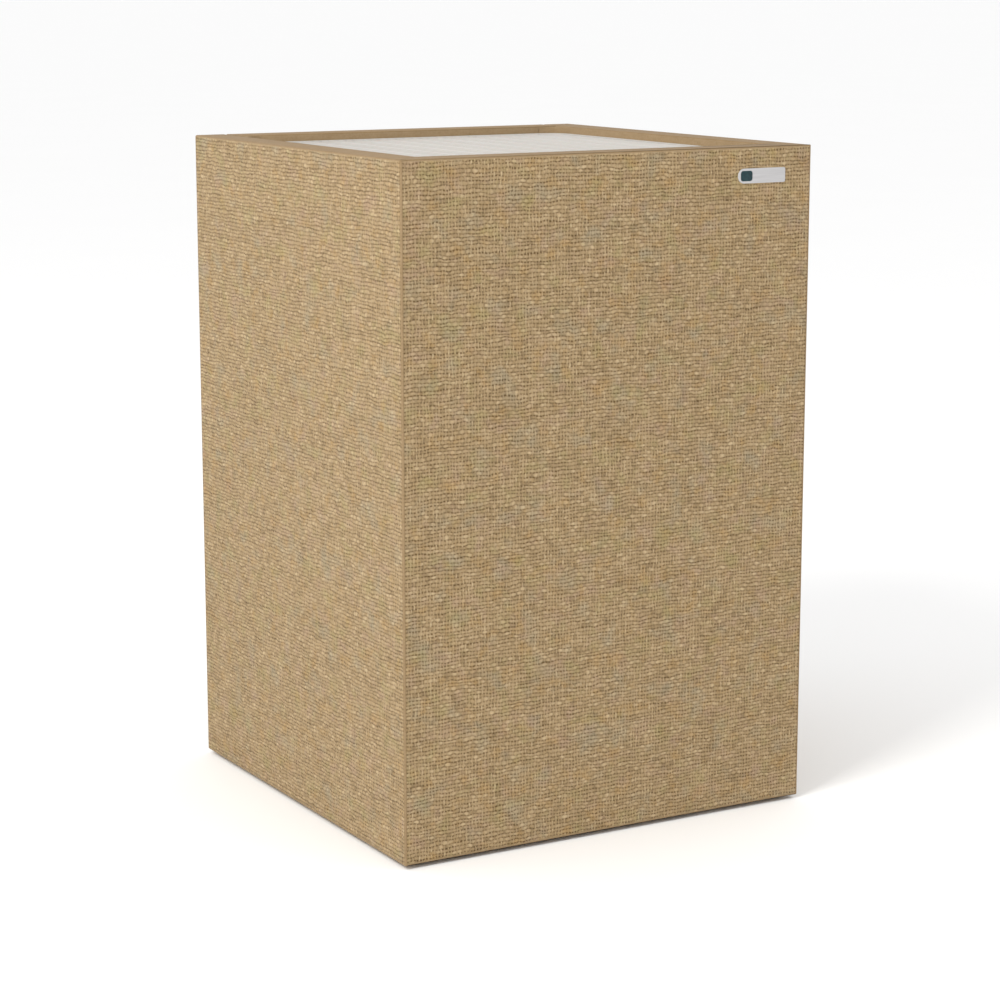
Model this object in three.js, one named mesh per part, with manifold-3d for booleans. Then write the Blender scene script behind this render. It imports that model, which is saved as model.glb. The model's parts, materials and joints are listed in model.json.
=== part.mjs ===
// Air purifier: a cloth-wrapped box on a steel chassis, with a filter stack, a fan and a slatted outlet.
// Millimetres, +Z up, front towards -Y. The origin is on the floor under the middle of the box.

import * as THREE from "three";
import { mergeVertices } from "three/addons/utils/BufferGeometryUtils.js";
import Module from "manifold-3d";

const wasm = await Module();
wasm.setup();

// ---------- driving dimensions ----------

const WIDTH = 550; // over the cloth, left to right
const DEPTH = 550; // over the cloth, front to back
const BODY_HEIGHT = 800; // from the cloth's lower edge to the rim
const FOOT_HEIGHT = 5; // the cloth hangs this far clear of the floor
const FOOT_RADIUS = 20;
const WALL = 40; // a wrapped wall, board and cloth together
const CLOTH = 1.6; // thickness of the cover
const SHEET = 2; // steel sheet of the chassis
const POST_LEG = 20; // leg of a corner post's angle

const GRILLE_RECESS = 9; // slat tops below the rim
const SLAT_PITCH = 12;
const SLAT_WIDTH = 4;
const RIB_WIDTH = 7; // every third slat is a broader rib
const SLAT_DEPTH = 11;
const GRILLE_BORDER = 7;
const GRILLE_FLANGE = 5;

const BADGE_LENGTH = 67.5;
const BADGE_HEIGHT = 17.5;
const BADGE_FROM_RIM = 25;
const BADGE_FROM_EDGE = 37.5;
const BADGE_PROUD = 0.9;
const BADGE_THICKNESS = 2.4;

const SERVICE_HEIGHT = 83; // fixed strip under the rear door
const SERVICE_RECESS = 24; // behind the rear face
const DOOR_GAP = 3; // round the rear door
const HINGE_INSET = 5; // hinge axis in from the door's edge and face
const HINGE_LENGTH = 60;
const HINGE_KNUCKLE = 4;
const HINGE_PIN = 1.9;
const HINGE_LEAF = 1.5;
const HINGE_FROM_END = 90; // door's end to the middle of a hinge
const CATCH_FROM_TOP = 50; // post's top to the middle of the magnetic catch
const INTAKE_WIDTH = 360;
const INTAKE_HEIGHT = 100;
const INTAKE_FROM_END = 30; // door's lower edge to the intake
const LOUVRE_PITCH = 14;

const FILTER_SIZE = 416; // every filter is square
const PREFILTER_THICKNESS = 20;
const CARBON_THICKNESS = 40;
const FINE_THICKNESS = 150;
const PLEAT_PITCH = 16;
const FILTER_LEVEL = 240; // underside of the prefilter
const FILTER_SPACE = 10; // between one filter and the next
const FILTER_FRAME = 18;
const GASKET_HEIGHT = 8;
const RAIL_LEDGE = 15;
const RAIL_SHEET = 1.5;

const IMPELLER_RADIUS = 155;
const IMPELLER_HEIGHT = 88;
const EYE_RADIUS = 104;
const THROAT_RADIUS = 100;
const BLADE_COUNT = 7;
const BLADE_THICKNESS = 3;
const MOTOR_RADIUS = 60;
const MOTOR_HEIGHT = 44;
const SHAFT_RADIUS = 6;
const BEARING_RADIUS = 14;
const BEARING_WIDTH = 9;
const ISOLATOR_HEIGHT = 14;
const LEG_REACH = 190; // fan axis to a bracket leg
const LINING = 18;

const BOX_LEFT = -30; // control box, left edge
const BOX_RIGHT = 190;
const BOX_DEPTH = 120;
const BOX_HEIGHT = 70;
const INLET_X = 150;
const SWITCH_X = 100;
const KNOB_X = 30;
const CONTROL_LEVEL = 47; // height of the inlet, switch and knob
const KNOB_RADIUS = 12;
const SPINDLE_RADIUS = 3;
const LEAD_RADIUS = 3.5;
const LEAD_FROM_SIDE = 11.3; // the motor lead climbs inside the right rear post's angle

// ---------- named clearances ----------

const TOUCH = 0.3; // between pieces that rest on each other
const MITRE = 0.25; // each side of a mitred corner
const PLAY = 0.7; // chassis inside the walls
const SWEEP = 2; // chassis clear of the swinging door

// ---------- levels and faces worked out from them ----------

const HALF_W = WIDTH / 2;
const HALF_D = DEPTH / 2;
const BOTTOM = FOOT_HEIGHT;
const RIM = BOTTOM + BODY_HEIGHT;
const INNER_X = HALF_W - WALL;
const INNER_Y = HALF_D - WALL;
const FRAME_X = INNER_X - PLAY;
const FRAME_FRONT = -(INNER_Y - PLAY);
const FRAME_REAR = INNER_Y - SWEEP;

const GRILLE_TOP = RIM - GRILLE_RECESS;
const GRILLE_BOTTOM = GRILLE_TOP - SLAT_DEPTH - GRILLE_FLANGE;
const POST_BOTTOM = BOTTOM + SHEET + TOUCH;
const TOP_FRAME_TOP = GRILLE_BOTTOM - TOUCH;
const POST_TOP = TOP_FRAME_TOP - SHEET - TOUCH;

const CARBON_LEVEL = FILTER_LEVEL + PREFILTER_THICKNESS + FILTER_SPACE;
const FINE_LEVEL = CARBON_LEVEL + CARBON_THICKNESS + FILTER_SPACE;
const GASKET_LEVEL = FINE_LEVEL + FINE_THICKNESS + TOUCH;
const DECK_LEVEL = GASKET_LEVEL + GASKET_HEIGHT + TOUCH;
const DECK_TOP = DECK_LEVEL + SHEET;
const BRACKET_LEVEL = DECK_TOP + TOUCH + ISOLATOR_HEIGHT + TOUCH;

const DOOR_BOTTOM = BOTTOM + SERVICE_HEIGHT + SWEEP;
const DOOR_HALF = INNER_X - DOOR_GAP;
const HINGE_X = -DOOR_HALF + HINGE_INSET;
const HINGE_Y = HALF_D - HINGE_INSET;
const HINGE_LEVELS = {
  lower: DOOR_BOTTOM + HINGE_FROM_END,
  upper: RIM - HINGE_FROM_END,
};
const INTAKE_BOTTOM = DOOR_BOTTOM + INTAKE_FROM_END;
const INTAKE_TOP = INTAKE_BOTTOM + INTAKE_HEIGHT;
const SERVICE_Y = HALF_D - SERVICE_RECESS;

// ---------- finishes ----------

const CLOTH_FINISH = { color: 0xb49a74, roughness: 0.95, metalness: 0 };
const BOARD_FINISH = { color: 0x8c8477, roughness: 0.9, metalness: 0 };
const WHITE_FINISH = { color: 0xe4e1dc, roughness: 0.45, metalness: 0 };
const POWDER_FINISH = { color: 0x2f3234, roughness: 0.6, metalness: 0.2 };
const ZINC_FINISH = { color: 0xa9adb0, roughness: 0.4, metalness: 0.9 };
const STEEL_FINISH = { color: 0xc4c6c8, roughness: 0.25, metalness: 1 };
const BLACK_FINISH = { color: 0x17181a, roughness: 0.5, metalness: 0 };
const RUBBER_FINISH = { color: 0x202020, roughness: 0.85, metalness: 0 };
const FOAM_FINISH = { color: 0x3b3d40, roughness: 1, metalness: 0 };
const PAPER_FINISH = { color: 0xf2efe6, roughness: 0.9, metalness: 0 };
const CARBON_FINISH = { color: 0x1d1d1f, roughness: 0.95, metalness: 0 };
const CARD_FINISH = { color: 0xc9b48c, roughness: 0.85, metalness: 0 };
const BADGE_FINISH = { color: 0xd9dadb, roughness: 0.35, metalness: 0.3 };
const LENS_FINISH = { color: 0x123f45, roughness: 0.15, metalness: 0 };
const BOARD_GREEN_FINISH = { color: 0x1f5a35, roughness: 0.5, metalness: 0 };
const COPPER_FINISH = { color: 0x9b6a43, roughness: 0.45, metalness: 0.8 };

// ---------- shaping helpers ----------

// A three.js geometry as a solid: merged corners, no empty triangles, faces outwards.
function solid(geometry) {
  const bare = geometry.clone();
  bare.deleteAttribute("normal");
  bare.deleteAttribute("uv");
  const merged = mergeVertices(bare, 1e-4);
  const points = merged.getAttribute("position").array;
  const corners = merged.getIndex().array;
  const triangles = [];
  let volume = 0;
  for (let i = 0; i < corners.length; i += 3) {
    const [a, b, c] = [corners[i], corners[i + 1], corners[i + 2]];
    if (a === b || b === c || c === a) continue;
    const [p, q, r] = [a, b, c].map((n) => new THREE.Vector3().fromArray(points, 3 * n));
    volume += p.dot(q.cross(r));
    triangles.push([a, b, c]);
  }
  const facing = volume < 0 ? triangles.map(([a, b, c]) => [a, c, b]) : triangles;
  const vertProperties = new Float32Array(points);
  const triVerts = new Uint32Array(facing.flat());
  return new wasm.Manifold(new wasm.Mesh({ numProp: 3, vertProperties, triVerts }));
}

function join(first, ...others) {
  return others.reduce((whole, piece) => whole.add(piece), first);
}

function cut(first, ...others) {
  return others.reduce((whole, piece) => whole.subtract(piece), first);
}

// A box between two values on each axis.
function box(x, y, z) {
  const shape = new THREE.BoxGeometry(x[1] - x[0], y[1] - y[0], z[1] - z[0]);
  return solid(shape.translate((x[0] + x[1]) / 2, (y[0] + y[1]) / 2, (z[0] + z[1]) / 2));
}

function outline(points) {
  return new THREE.Shape(points.map(([x, y]) => new THREE.Vector2(x, y)));
}

// A plan outline in X and Y, raised from z[0] to z[1].
function raise(shape, z) {
  const raised = new THREE.ExtrudeGeometry(shape, { depth: z[1] - z[0], bevelEnabled: false });
  return solid(raised.translate(0, 0, z[0]));
}

// A section in X and Z, run along Y from y[0] to y[1].
function runBack(shape, y) {
  const run = new THREE.ExtrudeGeometry(shape, { depth: y[1] - y[0], bevelEnabled: false });
  return solid(run.rotateX(Math.PI / 2).translate(0, y[1], 0));
}

// A profile of [radius, height] turned round the Z axis.
function turn(profile, segments = 32) {
  const closed = profile[0][0] === 0 ? profile : [...profile, profile[0]];
  const points = closed.map(([r, z]) => new THREE.Vector2(r, z));
  return solid(new THREE.LatheGeometry(points, segments).rotateX(Math.PI / 2));
}

function disc(radius, z, segments = 32) {
  return turn([[0, z[0]], [radius, z[0]], [radius, z[1]], [0, z[1]]], segments);
}

function tube(outer, inner, z, segments = 32) {
  return turn([[inner, z[0]], [outer, z[0]], [outer, z[1]], [inner, z[1]]], segments);
}

// A square ring with the same border all round.
function squareRing(x, y, z, border) {
  const inside = (side) => [side[0] + border, side[1] - border];
  return cut(box(x, y, z), box(inside(x), inside(y), [z[0] - 1, z[1] + 1]));
}

function piece(name, body, finish) {
  const { vertProperties, triVerts } = body.getMesh();
  const geometry = new THREE.BufferGeometry();
  geometry.setAttribute("position", new THREE.BufferAttribute(new Float32Array(vertProperties), 3));
  geometry.setIndex(new THREE.BufferAttribute(new Uint32Array(triVerts), 1));
  geometry.computeVertexNormals();
  const mesh = new THREE.Mesh(geometry, new THREE.MeshStandardMaterial(finish));
  mesh.name = name;
  return mesh;
}

function group(...members) {
  const whole = new THREE.Group();
  whole.add(...members);
  return whole;
}

// ---------- walls: a stiff board in a wrapped cloth cover ----------

const RETURN = 40; // cloth turned onto the wall's inner face
const RIM_RETURN = 55; // the same below the rim, down past the grille

// Plan of the front wall, both ends mitred, with every face moved in by inset.
function frontPlan(inset, mitre) {
  return outline([
    [-HALF_W + inset + mitre, -HALF_D + inset],
    [HALF_W - inset - mitre, -HALF_D + inset],
    [INNER_X + inset - mitre, -INNER_Y - inset],
    [-INNER_X - inset + mitre, -INNER_Y - inset],
  ]);
}

// Plan of a side wall: mitred at the front, square at the back. side is -1 or 1.
function sidePlan(side, inset, mitre) {
  return outline([
    [side * (HALF_W - inset), -HALF_D + inset + mitre],
    [side * (HALF_W - inset), HALF_D - inset],
    [side * (INNER_X + inset), HALF_D - inset],
    [side * (INNER_X + inset), -INNER_Y - inset + mitre],
  ]);
}

function doorPlan(inset) {
  const half = DOOR_HALF - inset;
  return outline([[-half, INNER_Y + inset], [half, INNER_Y + inset], [half, HALF_D - inset], [-half, HALF_D - inset]]);
}

const BADGE_RIGHT = HALF_W - BADGE_FROM_EDGE;
const BADGE_MIDDLE = RIM - BADGE_FROM_RIM - BADGE_HEIGHT / 2;

// The badge's outline: a round left end and a square right end.
function badgeOutline(grow) {
  const radius = BADGE_HEIGHT / 2 + grow;
  const left = BADGE_RIGHT - BADGE_LENGTH + BADGE_HEIGHT / 2;
  const shape = new THREE.Shape();
  shape.moveTo(BADGE_RIGHT + grow, BADGE_MIDDLE - radius);
  shape.lineTo(BADGE_RIGHT + grow, BADGE_MIDDLE + radius);
  shape.lineTo(left, BADGE_MIDDLE + radius);
  shape.absarc(left, BADGE_MIDDLE, radius, Math.PI / 2, (3 * Math.PI) / 2, false);
  return shape;
}

function frontWall() {
  const level = (inset) => [BOTTOM + inset, RIM - inset];
  const pocketDepth = BADGE_THICKNESS - BADGE_PROUD + TOUCH;
  const pocket = runBack(badgeOutline(TOUCH), [-HALF_D - 1, -HALF_D + pocketDepth]);
  const inner = [-INNER_Y - 2 * CLOTH, -INNER_Y + 1];
  const window = box([-INNER_X + RETURN, INNER_X - RETURN], inner, [BOTTOM + RETURN, RIM - RIM_RETURN]);
  const cavity = raise(frontPlan(CLOTH, -2), level(CLOTH));
  const cover = cut(raise(frontPlan(0, MITRE), level(0)), cavity, window, pocket);
  const core = cut(raise(frontPlan(CLOTH + TOUCH, MITRE), level(CLOTH + TOUCH)), pocket);
  return group(piece("front_board", core, BOARD_FINISH), piece("front_cover", cover, CLOTH_FINISH));
}

function sideWall(name, side) {
  const level = (inset) => [BOTTOM + inset, RIM - inset];
  const inner = [side * (INNER_X - 1), side * (INNER_X + 2 * CLOTH)].sort((a, b) => a - b);
  const window = box(inner, [-INNER_Y + RETURN, INNER_Y - RETURN], [BOTTOM + RETURN, RIM - RIM_RETURN]);
  const cavity = raise(sidePlan(side, CLOTH, -2), level(CLOTH));
  const cover = cut(raise(sidePlan(side, 0, MITRE), level(0)), cavity, window);
  const core = raise(sidePlan(side, CLOTH + TOUCH, MITRE), level(CLOTH + TOUCH));
  return group(piece(`${name}_board`, core, BOARD_FINISH), piece(`${name}_cover`, cover, CLOTH_FINISH));
}

// ---------- badge ----------

function badge() {
  const back = -HALF_D + BADGE_THICKNESS - BADGE_PROUD;
  const front = -HALF_D - BADGE_PROUD;
  const lensHeight = BADGE_HEIGHT - 5;
  const lensLeft = BADGE_RIGHT - BADGE_LENGTH + 3.5;
  const lensX = [lensLeft, lensLeft + 17];
  const lensZ = [BADGE_MIDDLE - lensHeight / 2, BADGE_MIDDLE + lensHeight / 2];
  const grow = (side) => [side[0] - TOUCH, side[1] + TOUCH];
  const seat = box(grow(lensX), [front - 1, front + 1.2], grow(lensZ));
  const plate = cut(runBack(badgeOutline(0), [front, back]), seat);
  const lens = box(lensX, [front, front + 1.2 - TOUCH], lensZ);
  return group(piece("badge_plate", plate, BADGE_FINISH), piece("indicator_lens", lens, LENS_FINISH));
}

// ---------- chassis ----------

function foot(name, x, y) {
  const mesh = piece(name, disc(FOOT_RADIUS, [0, FOOT_HEIGHT - TOUCH], 28), RUBBER_FINISH);
  mesh.position.set(x, y, 0);
  return mesh;
}

// An angle post whose corner is at its own origin, legs towards +X and +Y.
function post(name, x, y, quarterTurns) {
  const leg = outline([
    [0, 0],
    [POST_LEG, 0],
    [POST_LEG, SHEET],
    [SHEET, SHEET],
    [SHEET, POST_LEG],
    [0, POST_LEG],
  ]);
  const mesh = piece(name, raise(leg, [0, POST_TOP - POST_BOTTOM]), ZINC_FINISH);
  mesh.position.set(x, y, POST_BOTTOM);
  mesh.rotation.z = (quarterTurns * Math.PI) / 2;
  return mesh;
}

const TOP_LEDGE = 28; // width of the angle that carries the grille

function chassis() {
  const x = [-FRAME_X, FRAME_X];
  const y = [FRAME_FRONT, FRAME_REAR];
  const feetX = FRAME_X - FOOT_RADIUS - 10;
  const feetFront = FRAME_FRONT + FOOT_RADIUS + 10;
  const feetRear = FRAME_REAR - FOOT_RADIUS - 10;
  const ledge = squareRing(x, y, [TOP_FRAME_TOP - SHEET, TOP_FRAME_TOP], TOP_LEDGE);
  const lipX = [x[0] + TOP_LEDGE - SHEET, x[1] - TOP_LEDGE + SHEET];
  const lipY = [y[0] + TOP_LEDGE - SHEET, y[1] - TOP_LEDGE + SHEET];
  const lip = squareRing(lipX, lipY, [TOP_FRAME_TOP - 14, TOP_FRAME_TOP], SHEET);
  return group(
    piece("base_plate", box(x, [y[0], SERVICE_Y], [BOTTOM, BOTTOM + SHEET]), POWDER_FINISH),
    foot("foot_front_left", -feetX, feetFront),
    foot("foot_front_right", feetX, feetFront),
    foot("foot_rear_left", -feetX, feetRear),
    foot("foot_rear_right", feetX, feetRear),
    post("post_front_left", x[0], y[0], 0),
    post("post_front_right", x[1], y[0], 1),
    post("post_rear_right", x[1], y[1], 2),
    post("post_rear_left", x[0], y[1], 3),
    piece("top_frame", join(ledge, lip), ZINC_FINISH),
  );
}

// ---------- outlet grille ----------

function outletGrille() {
  const x = [-FRAME_X, FRAME_X];
  const y = [FRAME_FRONT, FRAME_REAR];
  const frame = squareRing(x, y, [GRILLE_BOTTOM, GRILLE_TOP], GRILLE_BORDER);
  const reach = x[1] - GRILLE_BORDER - SLAT_WIDTH;
  const steps = Math.floor(reach / SLAT_PITCH);
  const length = [y[0] + 1, y[1] - 1];
  const slats = [];
  for (let n = -steps; n <= steps; n += 1) {
    const half = (n % 3 === 0 ? RIB_WIDTH : SLAT_WIDTH) / 2;
    const middle = n * SLAT_PITCH;
    slats.push(box([middle - half, middle + half], length, [GRILLE_TOP - SLAT_DEPTH, GRILLE_TOP - 0.5]));
  }
  const span = (y[1] - y[0]) / 3;
  const ties = [1, 2].map((n) => {
    const middle = y[0] + n * span;
    return box([x[0] + 1, x[1] - 1], [middle - 3, middle + 3], [GRILLE_BOTTOM + 1, GRILLE_TOP - SLAT_DEPTH + 1]);
  });
  return piece("outlet_grille", join(frame, ...slats, ...ties), WHITE_FINISH);
}

// ---------- rear service panel and controls ----------

function servicePanel() {
  const top = BOTTOM + SERVICE_HEIGHT;
  const x = [-FRAME_X, FRAME_X];
  const bottom = BOTTOM + SHEET + TOUCH;
  const face = box(x, [SERVICE_Y - SHEET, SERVICE_Y], [bottom, top]);
  const shelf = box(x, [FRAME_REAR + TOUCH, SERVICE_Y], [top - SHEET, top]);
  const foldedFoot = box(x, [SERVICE_Y - 14, SERVICE_Y], [bottom, bottom + SHEET]);
  const through = [SERVICE_Y - SHEET - 1, SERVICE_Y + 1];
  const level = (half) => [CONTROL_LEVEL - half, CONTROL_LEVEL + half];
  const inletHole = box([INLET_X - 14, INLET_X + 14], through, level(17));
  const switchHole = box([SWITCH_X - 7.5, SWITCH_X + 7.5], through, level(11));
  const spindleHole = disc(SPINDLE_RADIUS + 1, [-5, 5], 20).rotate([90, 0, 0]).translate([KNOB_X, SERVICE_Y, CONTROL_LEVEL]);
  return piece("service_panel", cut(join(face, shelf, foldedFoot), inletHole, switchHole, spindleHole), POWDER_FINISH);
}

// Mains inlet with three pin slots above a fuse drawer.
function mainsInlet() {
  const middle = CONTROL_LEVEL;
  const face = SERVICE_Y + TOUCH;
  const flange = box([INLET_X - 17, INLET_X + 17], [face, face + 2.5], [middle - 20, middle + 20]);
  const body = box([INLET_X - 13.5, INLET_X + 13.5], [face - 28, face + 1], [middle - 16.5, middle + 16.5]);
  const socket = box([INLET_X - 11.5, INLET_X + 11.5], [face - 15, face + 3], [middle - 2, middle + 13]);
  const pin = (x, z) => box([x - 1, x + 1], [face - 16, face - 5], [z - 2, z + 2]);
  const pins = [pin(INLET_X - 6.5, middle + 4), pin(INLET_X, middle + 8), pin(INLET_X + 6.5, middle + 4)];
  const drawerHole = box([INLET_X - 11.5, INLET_X + 11.5], [face - 24, face + 3], [middle - 14, middle - 5]);
  return piece("mains_inlet", join(cut(flange.add(body), socket, drawerHole), ...pins), BLACK_FINISH);
}

function fuseDrawer() {
  const face = SERVICE_Y + TOUCH + 2.5;
  const x = [INLET_X - 11, INLET_X + 11];
  const front = box(x, [face - 2, face + 1.5], [CONTROL_LEVEL - 13.5, CONTROL_LEVEL - 5.5]);
  const tray = box([x[0] + 1, x[1] - 1], [face - 25, face - 1], [CONTROL_LEVEL - 13, CONTROL_LEVEL - 6]);
  const trough = box([x[0] + 3, x[1] - 3], [face - 24, face - 4], [CONTROL_LEVEL - 11, CONTROL_LEVEL - 4]);
  return piece("fuse_drawer", cut(front.add(tray), trough), BLACK_FINISH);
}

const ROCKER_TILT = 7; // degrees either side of level

function powerSwitch() {
  const face = SERVICE_Y + TOUCH;
  const bezel = box([SWITCH_X - 10, SWITCH_X + 10], [face, face + 2], [CONTROL_LEVEL - 13, CONTROL_LEVEL + 13]);
  const body = box([SWITCH_X - 7, SWITCH_X + 7], [face - 20, face + 1], [CONTROL_LEVEL - 10.5, CONTROL_LEVEL + 10.5]);
  const well = box([SWITCH_X - 5.5, SWITCH_X + 5.5], [face - 8, face + 3], [CONTROL_LEVEL - 9.5, CONTROL_LEVEL + 9.5]);
  const housing = piece("switch_housing", cut(bezel.add(body), well), BLACK_FINISH);
  const profile = outline([[-8.5, 2.6], [0, 0.8], [8.5, 2.6], [7, -3.5], [-7, -3.5]]);
  const key = new THREE.ExtrudeGeometry(profile, { depth: 10, bevelEnabled: false });
  key.translate(0, 0, -5).rotateY(Math.PI / 2);
  const rocker = piece("power_rocker", solid(key), BLACK_FINISH);
  rocker.position.set(SWITCH_X, face + 1, CONTROL_LEVEL);
  rocker.rotation.x = THREE.MathUtils.degToRad(-ROCKER_TILT);
  return group(housing, rocker);
}

// The knob and the spindle that it turns, which reaches in through the panel.
function speedKnob() {
  const skirt = disc(KNOB_RADIUS, [0, 4], 32);
  const grip = disc(KNOB_RADIUS - 2.5, [3, 14], 32);
  const spindle = disc(SPINDLE_RADIUS, [-12, 1], 16);
  const pointer = box([-0.8, 0.8], [KNOB_RADIUS - 7, KNOB_RADIUS - 1.5], [13, 14.6]);
  const knob = piece("speed_knob", join(skirt, grip, spindle, pointer), BLACK_FINISH);
  knob.position.set(KNOB_X, SERVICE_Y + TOUCH, CONTROL_LEVEL);
  knob.rotation.x = -Math.PI / 2;
  return knob;
}

// ---------- control box: closed on five sides, open towards the service panel ----------

const LEAD_EXIT_X = BOX_RIGHT - 20; // the motor lead leaves through the box's top here
const LEAD_EXIT_Y = SERVICE_Y - 60;

function controlBox() {
  const x = [BOX_LEFT, BOX_RIGHT];
  const rear = SERVICE_Y - 14 - 1;
  const y = [rear - BOX_DEPTH, rear];
  const floor = BOTTOM + SHEET + TOUCH;
  const z = [floor, floor + BOX_HEIGHT];
  const wall = 1.2;
  const hollow = box([x[0] + wall, x[1] - wall], [y[0] + wall, y[1] + 1], [z[0] + wall, z[1] - wall]);
  const leadHole = disc(LEAD_RADIUS + 2, [z[1] - 2, z[1] + 1], 16).translate([LEAD_EXIT_X, LEAD_EXIT_Y, 0]);
  const shell = cut(box(x, y, z), hollow, leadHole);
  const boardX = [x[0] + 12, x[1] - 12];
  const boardY = [y[0] + 12, y[1] - 28];
  const boardZ = [z[0] + 12, z[0] + 13.6];
  const board = box(boardX, boardY, boardZ);
  const onBoard = (left, front, size, height) =>
    box(
      [boardX[0] + left, boardX[0] + left + size[0]],
      [boardY[0] + front, boardY[0] + front + size[1]],
      [boardZ[0] + 0.5, boardZ[1] + height],
    );
  const standoff = (sx, sy) => disc(3, [z[0] + wall + TOUCH, boardZ[0] + 0.5], 12).translate([sx, sy, 0]);
  const corners = [boardX[0] + 6, boardX[1] - 6].flatMap((sx) =>
    [boardY[0] + 6, boardY[1] - 6].map((sy) => standoff(sx, sy)),
  );
  const parts = [
    onBoard(15, 15, [40, 32], 28),
    onBoard(70, 14, [26, 50], 22),
    onBoard(110, 20, [18, 18], 30),
    onBoard(134, 20, [18, 18], 30),
    onBoard(112, 52, [50, 16], 12),
    onBoard(20, 56, [30, 12], 8),
    onBoard(164, 16, [16, 10], 14),
  ];
  return group(
    piece("control_box", shell, ZINC_FINISH),
    piece("control_board", join(board, ...corners, ...parts), BOARD_GREEN_FINISH),
  );
}

function particleSensor() {
  const x = [-FRAME_X + 2 * SHEET, -FRAME_X + 2 * SHEET + 22];
  const y = [-25, 25];
  const z = [INTAKE_BOTTOM + 20, INTAKE_BOTTOM + 58];
  const body = box(x, y, z);
  const port = disc(5, [-4, 4], 16).rotate([0, 90, 0]).translate([x[1], -12, z[0] + 24]);
  const slot = box([x[1] - 3, x[1] + 1], [6, 18], [z[0] + 12, z[0] + 15]);
  const foot = box([-FRAME_X, x[0] + 1], [y[0] - 8, y[1] + 8], [z[0], z[0] + SHEET]);
  return piece("particle_sensor", join(cut(body, port, slot), foot), BLACK_FINISH);
}

// ---------- filters ----------

const HALF_FILTER = FILTER_SIZE / 2;
const RAIL_X = HALF_FILTER + 6;

// A rail's section: a web with a ledge under each filter and flanges out to the wall.
function filterRail(name, side) {
  const ledges = [FILTER_LEVEL, CARBON_LEVEL, FINE_LEVEL];
  const top = DECK_LEVEL - TOUCH;
  const low = FILTER_LEVEL - 20;
  const along = [FRAME_FRONT + POST_LEG + 2, FRAME_REAR - POST_LEG - 2];
  const across = (from, to) => [side * from, side * to].sort((a, b) => a - b);
  const web = box(across(RAIL_X, RAIL_X + RAIL_SHEET), along, [low, top]);
  const flange = (z) => box(across(RAIL_X, FRAME_X), along, [z, z + RAIL_SHEET]);
  const lip = (z) => box(across(FRAME_X - RAIL_SHEET, FRAME_X), along, [z, z + 12]);
  const ledge = (level) => {
    const z = level - TOUCH;
    return box(across(RAIL_X - RAIL_LEDGE, RAIL_X + 1), along, [z - RAIL_SHEET, z]);
  };
  const shape = join(web, flange(low), flange(top - RAIL_SHEET), lip(low), lip(top - 12), ...ledges.map(ledge));
  return piece(name, shape, ZINC_FINISH);
}

function prefilter() {
  const side = [-HALF_FILTER, HALF_FILTER];
  const z = [FILTER_LEVEL, FILTER_LEVEL + PREFILTER_THICKNESS];
  const frame = squareRing(side, side, z, FILTER_FRAME);
  const cells = 5;
  const step = (FILTER_SIZE - FILTER_FRAME) / cells;
  const bars = [];
  for (let n = 1; n < cells; n += 1) {
    const middle = -HALF_FILTER + FILTER_FRAME / 2 + n * step;
    const bar = [middle - 3, middle + 3];
    const long = [side[0] + 2, side[1] - 2];
    bars.push(box(bar, long, [z[0] + 3, z[0] + 9]));
    bars.push(box(long, bar, [z[0] + 3, z[0] + 9]));
  }
  const mesh = box([side[0] + 2, side[1] - 2], [side[0] + 2, side[1] - 2], [z[0] + 8, z[0] + 11]);
  return piece("prefilter", join(frame, mesh, ...bars), BLACK_FINISH);
}

function carbonFilter() {
  const side = [-HALF_FILTER, HALF_FILTER];
  const z = [CARBON_LEVEL, CARBON_LEVEL + CARBON_THICKNESS];
  const frame = squareRing(side, side, z, FILTER_FRAME);
  const bedSide = [side[0] + FILTER_FRAME - 1, side[1] - FILTER_FRAME + 1];
  const bed = box(bedSide, bedSide, [z[0] + 4, z[1] - 4]);
  return piece("carbon_filter", frame.add(bed), CARBON_FINISH);
}

function fineFilter() {
  const side = [-HALF_FILTER, HALF_FILTER];
  const z = [FINE_LEVEL, FINE_LEVEL + FINE_THICKNESS];
  const frame = squareRing(side, side, z, FILTER_FRAME);
  const half = HALF_FILTER - FILTER_FRAME - TOUCH;
  const folds = 2 * Math.floor(half / PLEAT_PITCH);
  const low = z[0] + 6;
  const high = z[1] - 6;
  const line = [];
  for (let n = 0; n <= 2 * folds; n += 1) {
    const x = (n - folds) * (PLEAT_PITCH / 2);
    line.push([x, n % 2 === 0 ? low : high - 4]);
  }
  const under = line.map(([x, level]) => [x, level]);
  const over = line.map(([x, level]) => [x, level + 4]).reverse();
  const pleats = runBack(outline([...under, ...over]), [-half, half]);
  const band = squareRing(side, side, [GASKET_LEVEL, GASKET_LEVEL + GASKET_HEIGHT], 12);
  return group(
    piece("fine_filter_frame", frame, CARD_FINISH),
    piece("fine_filter_pleats", pleats, PAPER_FINISH),
    piece("filter_gasket", band, FOAM_FINISH),
  );
}

// ---------- fan ----------

const WHEEL_BOTTOM = DECK_TOP + 22; // impeller's eye collar above the deck
const WHEEL_TOP = WHEEL_BOTTOM + IMPELLER_HEIGHT;
const SHROUD_RISE = 22;
const WHEEL_SHEET = 2;

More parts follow.
